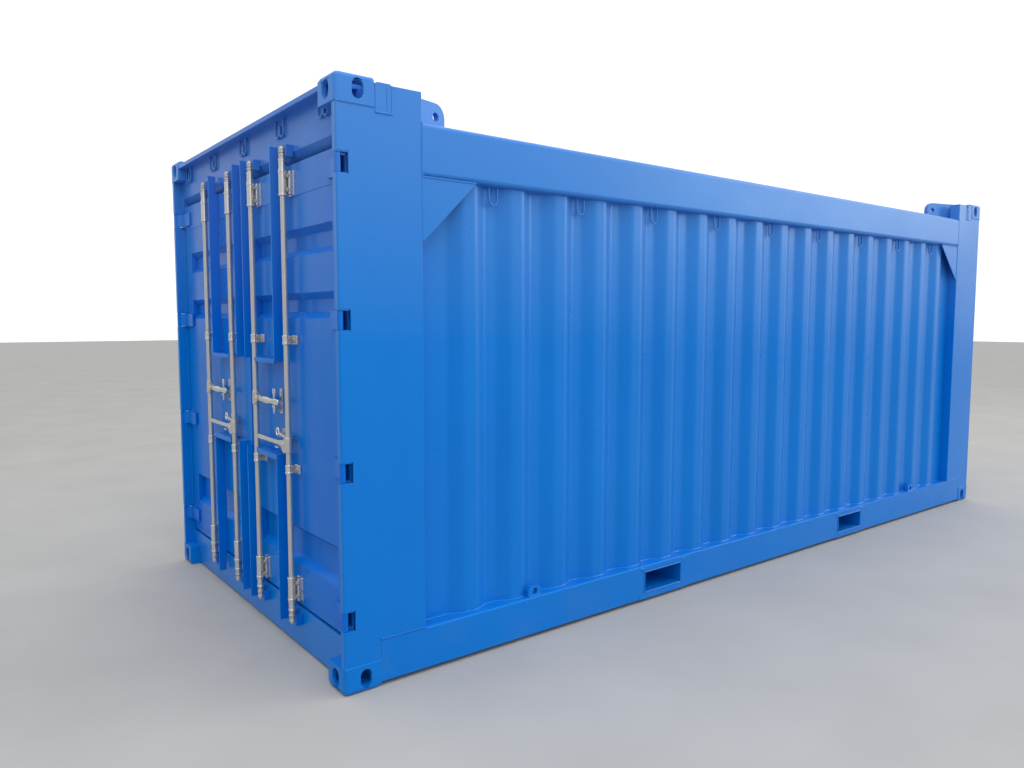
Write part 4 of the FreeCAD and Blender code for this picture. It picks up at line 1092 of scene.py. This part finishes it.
class CONTAINER_OT_base(bpy.types.Operator):
    """Floor boards, cross members and forklift tunnels"""

    bl_idname = "container.base"
    bl_label = "Floor and Base"

    def execute(self, context):
        sizes = context.scene.container_fittings
        low, high = BOX["floor"]
        piece = tree_of(board_tree).grow("floor_boards", {
            "Length": high.x - low.x, "Width": high.y - low.y, "Thickness": high.z - low.z,
            "Boards": sizes.boards, "Gap": sizes.board_gap, "Material": finish("oiled_board")},
            None, "container", "floor_wood", ("floor",), smooth=False)
        piece.data.transform(Matrix.Translation((low + high) / 2))
        softened("cross_members", 0.0012, "frame_paint")
        softened("forklift_tunnels", 0.0022, "frame_paint")
        return {"FINISHED"}


class CONTAINER_OT_lifting(bpy.types.Operator):
    """Gussets, pad-eyes, tarpaulin loops and roof bows"""

    bl_idname = "container.lifting"
    bl_label = "Lifting and Roof Fittings"

    def hooks(self, context):
        """Bent rod loops under the top rails, and doubled ones under the header's visor."""
        mesh, wire = bmesh.new(), 0.005
        for low, high in loose_boxes("tarp_loops"):
            middle, top, reach = (low + high) / 2, high.z + 0.002, high.z - low.z
            under_rail = high.x - low.x > high.y - low.y
            radius = 0.024 if under_rail else 0.022
            bend = arc((0.0, radius - reach + wire), radius, 180, 360, 12)
            if under_rail:
                path = [(-radius, 0.0)] + bend + [(radius, 0.0)]
                points = [(middle.x + along, middle.y, top + rise) for along, rise in path]
            else:
                shift = radius + 0.005
                room = HALF.y - 0.165 - shift - radius - wire
                middle.y = max(-room, min(room, middle.y))
                valley = arc((0.0, -0.040), 0.005, 180, 0, 6)
                path = [(-shift - radius, 0.0)] + [(x - shift, z) for x, z in bend] + valley
                path += [(x + shift, z) for x, z in bend] + [(shift + radius, 0.0)]
                points = [(middle.x, middle.y + along, top + rise) for along, rise in path]
            sweep(mesh, points, wire, 10)
        skin("tarp_loops", "_bent", mesh)

    def execute(self, context):
        steel = context.scene.container_steel
        softened("rail_gussets", steel.plate_edge, "frame_paint")
        paths = []
        for end, side in CORNERS:
            near, far = end * (HALF.x - POST_LONG), end * (HALF.x - POST_LONG - 0.285)
            plane = side * (HALF.y - 0.007)
            paths.append([(near, plane, RAIL_LOW - 0.002), (far, plane, RAIL_LOW - 0.002)])
            paths.append([(near, plane, RAIL_LOW), (near, plane, RAIL_LOW - 0.27)])
        weld_beads("gusset_welds", paths, "container")
        softened("pad_eyes", steel.plate_edge, "frame_paint", angle=25.0)
        self.hooks(context)
        softened("roof_bows", 0.001, "lock_zinc", suffix="_tube")
        return {"FINISHED"}


# --- operators: doors --------------------------------------------------------------------------
class CONTAINER_OT_doors(bpy.types.Operator):
    """Door frames, pressed door panels, hinges and rubber seals"""

    bl_idname = "container.doors"
    bl_label = "Door Leaves"

    def pads(self, pin):
        """Bearing pads round the hinge pins that fill the gaps above and below each blade."""
        mesh = bmesh.new()
        for side in (-1, 1):
            across = side * abs(pin[1])
            bore = [(pin[0] + x, across + y) for x, y in arc((0.0, 0.0), 0.0082, 360, 0, 24)[:-1]]
            face = oblong((depth(0.006), across - 0.0155), (depth(0.0575), across + 0.0155), 0.002)
            for middle in HINGES:
                for low in (middle - 0.0462, middle + 0.0410):
                    plate(mesh, [face, bore], 2, low, low + 0.0052, 0.0006)
        solid("hinge_pads", mesh)

    def execute(self, context):
        steel = context.scene.container_steel
        for side in SIDES:
            softened(f"{side}_door_frame", steel.plate_edge * 1.6, "door_shaded_paint")
            softened(f"{side}_door_panel", 0.0, "door_shaded_paint")
            softened(f"{side}_door_gasket", 0.0015, "seal_rubber", suffix="_seal")
            softened(f"{side}_rod_guards", steel.plate_edge, "door_shaded_paint")
            softened(f"{side}_hinge_blades", steel.plate_edge * 0.8, "door_shaded_paint")
        softened("hinge_pins", 0.001, "frame_paint", suffix="_turned")
        self.pads(JOINT["right_door_hinge"]["pos_m"])
        softened("cam_keepers", 0.0015, "door_shaded_paint")
        return {"FINISHED"}


class CONTAINER_OT_guard_lips(bpy.types.Operator):
    """Turned-down front lips of the guard shelves, with their weld seams"""

    bl_idname = "container.guard_lips"
    bl_label = "Guard Lips"

    def execute(self, context):
        steel = context.scene.container_steel
        for name, side in SIDES.items():
            lips, paths = bmesh.new(), []
            for low, high in ((0.914, 0.936), (1.386, 1.404)):
                outline = [(side * 0.203, low + 0.004), (side * 0.207, low), (side * 0.474, low),
                           (side * 0.478, low + 0.004), (side * 0.478, high), (side * 0.203, high)]
                plate(lips, [outline], 0, depth(0.0085), depth(0.0155))
                paths.append([(depth(0.0155), side * across, high) for across in (0.21, 0.47)])
            solid(f"{name}_guard_lips", lips, "door_shaded_paint", f"{name}_door")
            weld_beads(f"{name}_lip_welds", paths, f"{name}_door", "door_shaded_paint", steel.weld * 0.7)
        return {"FINISHED"}


ROD_DEPTH = JOINT["right_outer_rod_turn"]["pos_m"][0]
ROD_BORE = 0.0148
FOOT = (0.054, 0.0625)


def rod_place(name, rod):
    """Y of a lock rod's axis."""
    return JOINT[f"{name}_{rod}_rod_turn"]["pos_m"][1]


class CONTAINER_OT_bearings(bpy.types.Operator):
    """Rod bearings, guides and handle catches bolted to the doors"""

    bl_idname = "container.bearings"
    bl_label = "Bearings and Catches"

    def bearing(self, mesh, heads, y, side, sleeve, foot):
        """A sleeve round the rod, its web and foot, and a clamp block with two bolts."""
        low, high = foot
        for start, stop, waist, rim in ((sleeve[0], low, 0.0168, 0.0185),
                                        (low, high, 0.0185, 0.0205),
                                        (high, sleeve[1], 0.0168, 0.0185)):
            if stop - start > 0.02:
                turned(mesh, (ROD_DEPTH, y), collared(start, stop, ROD_BORE, waist, rim, 0.009))
        plate(mesh, [oblong((y - side * 0.012, low), (y + side * 0.050, high), 0.006)], 0,
              depth(FOOT[0]), depth(FOOT[1]))
        block(mesh, (depth(0.034), y - 0.009, low + 0.006), (depth(0.056), y + 0.009, high - 0.006))
        plate(mesh, [oblong((y + side * 0.022, low + 0.003), (y + side * 0.045, high - 0.003),
                            0.005)], 0, depth(0.036), depth(0.056), 0.004)
        heads += [(depth(0.0360), y + side * 0.0335, low + 0.026),
                  (depth(0.0360), y + side * 0.0335, high - 0.026)]

    def guide(self, mesh, heads, y, side, level):
        """A short ring round the rod on a bolted foot."""
        low, high = level - 0.022, level + 0.022
        turned(mesh, (ROD_DEPTH, y), collared(low, high, ROD_BORE, 0.0172, 0.0185, 0.009))
        plate(mesh, [oblong((y - side * 0.014, low), (y + side * 0.050, high), 0.005)], 0,
              depth(FOOT[0]), depth(FOOT[1]))
        block(mesh, (depth(0.034), y - 0.007, low + 0.005), (depth(0.056), y + 0.007, high - 0.005))
        plate(mesh, [oblong((y + side * 0.016, low + 0.004), (y + side * 0.045, high - 0.004),
                            0.003)], 0, depth(0.046), depth(0.056), 0.002)
        heads += [(depth(0.0460), y + side * 0.031, level)]

    def catch(self, mesh, heads, y, handle):
        """The plate, shelf and ring that hold one handle."""
        toward = 1 if handle[1] > y else -1
        level, upper = handle[2], handle[2] > HANDLE_SPLIT
        middle = y + toward * (0.262 if upper else 0.140)
        plate(mesh, [oblong((middle - 0.017, level - 0.062), (middle + 0.017, level + 0.062),
                            0.006)], 0, depth(FOOT[0]), depth(FOOT[1]))
        plate(mesh, [oblong((depth(0.0125), middle - 0.017), (depth(0.060), middle + 0.017),
                            0.004)], 2, level - 0.029, level - 0.021)
        if upper:
            stem = middle - toward * 0.034
            shank = [(-0.006, -0.063), (0.004, -0.064), (0.008, -0.050), (0.0115, -0.020),
                     (0.0085, 0.020)]
            ring = arc((0.0, 0.046), 0.0165, -52, 232, 20)
            left = [(-0.0085, 0.020), (-0.0105, -0.020), (-0.0095, -0.050)]
            hole = [(stem + toward * x, level + z)
                    for x, z in arc((0.0, 0.047), 0.0075, 360, 0, 14)]
            outline = [(stem + toward * x, level + z) for x, z in shank + ring + left]
            plate(mesh, [outline, hole[:-1]], 0, depth(0.0285), depth(0.0350), 0.002)
            block(mesh, (depth(0.034), stem - toward * 0.007, level - 0.018),
                  (depth(0.058), middle + toward * 0.010, level - 0.004))
        else:
            stem = middle + toward * 0.028
            ring = [(stem + x * 0.8, level + 0.046 + z)
                    for x, z in arc((0.0, 0.0), 0.0185, 95, 445, 22)]
            sweep(mesh, [(depth(0.034), across, height) for across, height in ring], 0.0052, 10)
            start, stop = stem - toward * 0.012, y + toward * 0.034
            plate(mesh, [[(start, level + 0.050), (start, level + 0.034),
                          (stop, level + 0.016), (stop, level + 0.032)]], 0,
                  depth(0.0300), depth(0.0365), 0.002)
            for across in (stem - toward * 0.020, stop + toward * 0.012):
                block(mesh, (depth(0.036), across - 0.006, level + 0.020),
                      (depth(FOOT[1]), across + 0.006, level + 0.042))
        heads += [(depth(FOOT[0]), middle - toward * 0.009, level - 0.044)]

    def execute(self, context):
        for name, side in SIDES.items():
            mesh, heads = bmesh.new(), []
            for rod in ("outer", "inner"):
                y = rod_place(name, rod)
                self.bearing(mesh, heads, y, side, (0.192, 0.372), (0.244, 0.360))
                self.bearing(mesh, heads, y, side, (2.168, 2.340), (2.171, 2.287))
                for level in (0.885, 1.503):
                    self.guide(mesh, heads, y, side, level)
                self.catch(mesh, heads, y, JOINT[f"{name}_{rod}_handle_lift"]["pos_m"])
            solid(f"{name}_bearings_and_catches", mesh, "forged_zinc", f"{name}_door",
                  (f"{name}_lock_fittings",))
            bolts(f"{name}_fitting_bolts", heads, f"{name}_door")
        return {"FINISHED"}


class CONTAINER_OT_lock_gear(bpy.types.Operator):
    """Lock rods with their collars and ears, and forged handles"""

    bl_idname = "container.lock_gear"
    bl_label = "Lock Rods and Handles"

    def rod(self, name, rod, y, handle):
        """The rod with its turned ends, hub, cam claws and the ears that carry the handle."""
        toward = 1 if handle[1] > y else -1
        node, level = f"{name}_{rod}_lock_rod", handle[2]
        low, high = BOX[node][0].z, BOX[node][1].z
        mesh, thick, hub = bmesh.new(), 0.0136, 0.0178
        ends = [(0.0, -0.003), (0.0085, -0.0025), (0.0118, 0.0), (0.0118, 0.004),
                (0.0152, 0.008), (0.0156, 0.016), (0.0125, 0.021), (0.0104, 0.025),
                (0.0104, 0.031), (0.0165, 0.034), (0.0165, 0.042), (thick, 0.044)]
        profile = [(radius, low + rise) for radius, rise in ends]
        profile += [(thick, level - 0.036), (hub, level - 0.033), (hub, level + 0.033),
                    (thick, level + 0.036)]
        profile += [(radius, high - rise) for radius, rise in reversed(ends)]
        turned(mesh, (ROD_DEPTH, y), profile)
        centre = -1 if y > 0 else 1
        for foot in (low + 0.008, low + 0.022, high - 0.028, high - 0.014):
            claw = [(ROD_DEPTH + x, y + centre * along)
                    for along, x in arc((0.0, 0.0), 0.0158, 34, 326, 16)]
            claw += [(ROD_DEPTH + x, y + centre * along)
                     for x, along in ((-0.0085, 0.0170), (-0.0050, 0.0205), (0.0050, 0.0205),
                                      (0.0085, 0.0170))]
            plate(mesh, [claw], 2, foot, foot + 0.007, 0.001)
        pivot, start = handle[1], y + toward * 0.012
        stop, tip = pivot + toward * 0.004, pivot + toward * 0.018
        crank = [(start, level - 0.032), (stop, level - 0.022), (tip, level - 0.010),
                 (tip, level + 0.010), (stop, level + 0.022), (start, level + 0.032)]
        if level < HANDLE_SPLIT:
            crank[:3] = [(start, level - 0.036), (y + toward * 0.030, level - 0.041),
                         (pivot + toward * 0.010, level - 0.034),
                         (tip + toward * 0.008, level - 0.012)]
        for near, far in ((0.0072, 0.0120), (0.0220, 0.0268)):
            plate(mesh, [crank], 0, depth(near), depth(far), 0.0014)
        bar(mesh, (depth(0.0045), pivot, level), (depth(0.0300), pivot, level), 0.0062, 18)
        bar(mesh, (depth(0.0074), pivot, level), (depth(0.0042), pivot, level), 0.0105, 18, 0.0085)
        skin(node, "_forged", mesh, "lock_zinc")

    def handle(self, name, rod, y, handle):
        """A forged bar: swollen in the hand for the upper one, thin and flat for the lower."""
        toward = 1 if handle[1] > y else -1
        node = f"{name}_{rod}_handle"
        upper = handle[2] > HANDLE_SPLIT
        long = 0.287 if upper else 0.366
        profile = ([(0.030, 0.0120), (0.070, 0.0120), (0.095, 0.0158), (0.150, 0.0165),
                    (0.178, 0.0128), (0.215, 0.0122), (0.240, 0.0140), (0.262, 0.0150)] if upper
                   else [(0.026, 0.0140), (0.052, 0.0140), (0.072, 0.0100), (0.240, 0.0098),
                         (0.330, 0.0112)])
        tip = 0.0150 if upper else 0.0112
        curve = [(long - tip + x, z) for x, z in arc((0.0, 0.0), tip, 75, -75, 8)]
        boss = arc((0.0, 0.0), 0.0165, 320, 40, 12)
        outline = profile + curve + [(along, -half) for along, half in reversed(profile)] + boss
        mesh = bmesh.new()
        place = [(handle[1] + toward * along, handle[2] + rise) for along, rise in outline]
        near, far = (0.0125, 0.0215) if upper else (0.0135, 0.0205)
        plate(mesh, [place], 0, depth(near), depth(far), 0.003 if upper else 0.002)
        if upper:
            grip = oblong((handle[1] + toward * 0.060, handle[2] - 0.008),
                          (handle[1] + toward * 0.185, handle[2] + 0.008), 0.007)
            plate(mesh, [grip], 0, depth(0.0095), depth(0.0140), 0.002)
        skin(node, "_forged", mesh, "forged_zinc")

    def execute(self, context):
        for name in SIDES:
            for rod in ("outer", "inner"):
                y, handle = rod_place(name, rod), JOINT[f"{name}_{rod}_handle_lift"]["pos_m"]
                self.rod(name, rod, y, handle)
                self.handle(name, rod, y, handle)
        return {"FINISHED"}


# --- operator: stage ---------------------------------------------------------------------------
class CONTAINER_OT_stage(bpy.types.Operator):
    """Pale floor, soft light and the camera"""

    bl_idname = "container.stage"
    bl_label = "Stage"

    def execute(self, context):
        stage = context.scene.container_stage
        data = bpy.data.meshes.new("stage_floor")
        reach = 60.0
        data.from_pydata([(-reach, -reach, 0.0), (reach, -reach, 0.0), (reach, reach, 0.0),
                          (-reach, reach, 0.0)], [], [(0, 1, 2, 3)])
        data.materials.append(finish("stage_floor"))
        floor = add_object("stage_floor", data)
        lights = (("key_light", (10.0, -7.5, 6.5), 7.0, stage.key, (1.0, 0.99, 0.97)),
                  ("fill_light", (-7.0, -8.0, 6.5), 6.0, stage.fill, (0.97, 0.98, 1.0)),
                  ("top_light", (-4.5, -3.0, 9.0), 8.0, stage.fill * 7.0, (0.98, 0.99, 1.0)))
        for name, place, size, power, tint in lights:
            lamp = bpy.data.lights.new(name, "AREA")
            lamp.size = size
            lamp.energy = power
            lamp.color = tint
            aim = Vector((0.0, 0.0, 1.2)) - Vector(place)
            turn = aim.to_track_quat("-Z", "Y").to_matrix().to_4x4()
            add_object(name, lamp).matrix_world = Matrix.Translation(place) @ turn
        world = bpy.data.worlds.new("soft_sky")
        world.use_nodes = True
        nodes, links = world.node_tree.nodes, world.node_tree.links
        nodes["Background"].inputs["Color"].default_value = (1.0, 0.995, 0.985, 1.0)
        heading = nodes.new("ShaderNodeSeparateXYZ")
        links.new(nodes.new("ShaderNodeTexCoord").outputs["Generated"], heading.inputs[0])
        brighter = nodes.new("ShaderNodeMapRange")
        for socket, value in (("From Min", -0.7), ("From Max", 0.2), ("To Min", stage.sky * 0.55),
                              ("To Max", stage.sky)):
            brighter.inputs[socket].default_value = value
        links.new(heading.outputs[0], brighter.inputs["Value"])
        links.new(brighter.outputs["Result"], nodes["Background"].inputs["Strength"])
        context.scene.world = world
        lens = bpy.data.cameras.new("camera")
        lens.lens = stage.lens
        lens.sensor_width = 36.0
        lens.clip_end = 500.0
        camera = add_object("camera", lens)
        right = Vector((0.79113, -0.61164, 0.00091))
        up = Vector((0.04962, 0.06567, 0.99661))
        ahead = Vector((0.60963, 0.78840, -0.08230))
        turn = Matrix((right, up, -ahead)).transposed().to_4x4()
        camera.matrix_world = Matrix.Translation(stage.camera) @ turn
        context.scene.camera = camera
        context.scene.view_settings.view_transform = "Standard"
        return {"FINISHED"}


class CONTAINER_PT_panel(bpy.types.Panel):
    """Lists the steps that make the container"""

    bl_idname = "CONTAINER_PT_panel"
    bl_label = "Container"
    bl_space_type = "VIEW_3D"
    bl_region_type = "UI"
    bl_category = "Container"

    def draw(self, context):
        for step in STEPS:
            self.layout.operator(step.bl_idname)


STEPS = (CONTAINER_OT_stage, CONTAINER_OT_castings, CONTAINER_OT_posts, CONTAINER_OT_rails,
         CONTAINER_OT_ends, CONTAINER_OT_walls, CONTAINER_OT_base, CONTAINER_OT_lifting,
         CONTAINER_OT_doors, CONTAINER_OT_guard_lips, CONTAINER_OT_bearings,
         CONTAINER_OT_lock_gear)
GROUPS = {"container_paint": ContainerPaint, "container_steel": ContainerSteel,
          "container_fittings": ContainerFittings, "container_stage": ContainerStage}


def register():
    """Register the property groups, the operators and the panel."""
    for group in GROUPS.values():
        bpy.utils.register_class(group)
    for name, group in GROUPS.items():
        setattr(bpy.types.Scene, name, PointerProperty(type=group))
    for step in STEPS + (CONTAINER_PT_panel,):
        bpy.utils.register_class(step)


def unregister():
    """Take everything back out."""
    for step in (CONTAINER_PT_panel,) + STEPS[::-1]:
        bpy.utils.unregister_class(step)
    for name in GROUPS:
        delattr(bpy.types.Scene, name)
    for group in GROUPS.values():
        bpy.utils.unregister_class(group)


def main():
    """Make the container."""
    register()
    for step in STEPS:
        group, name = step.bl_idname.split(".")
        getattr(getattr(bpy.ops, group), name)()
    bpy.context.view_layer.update()


if __name__ == "__main__":
    main()
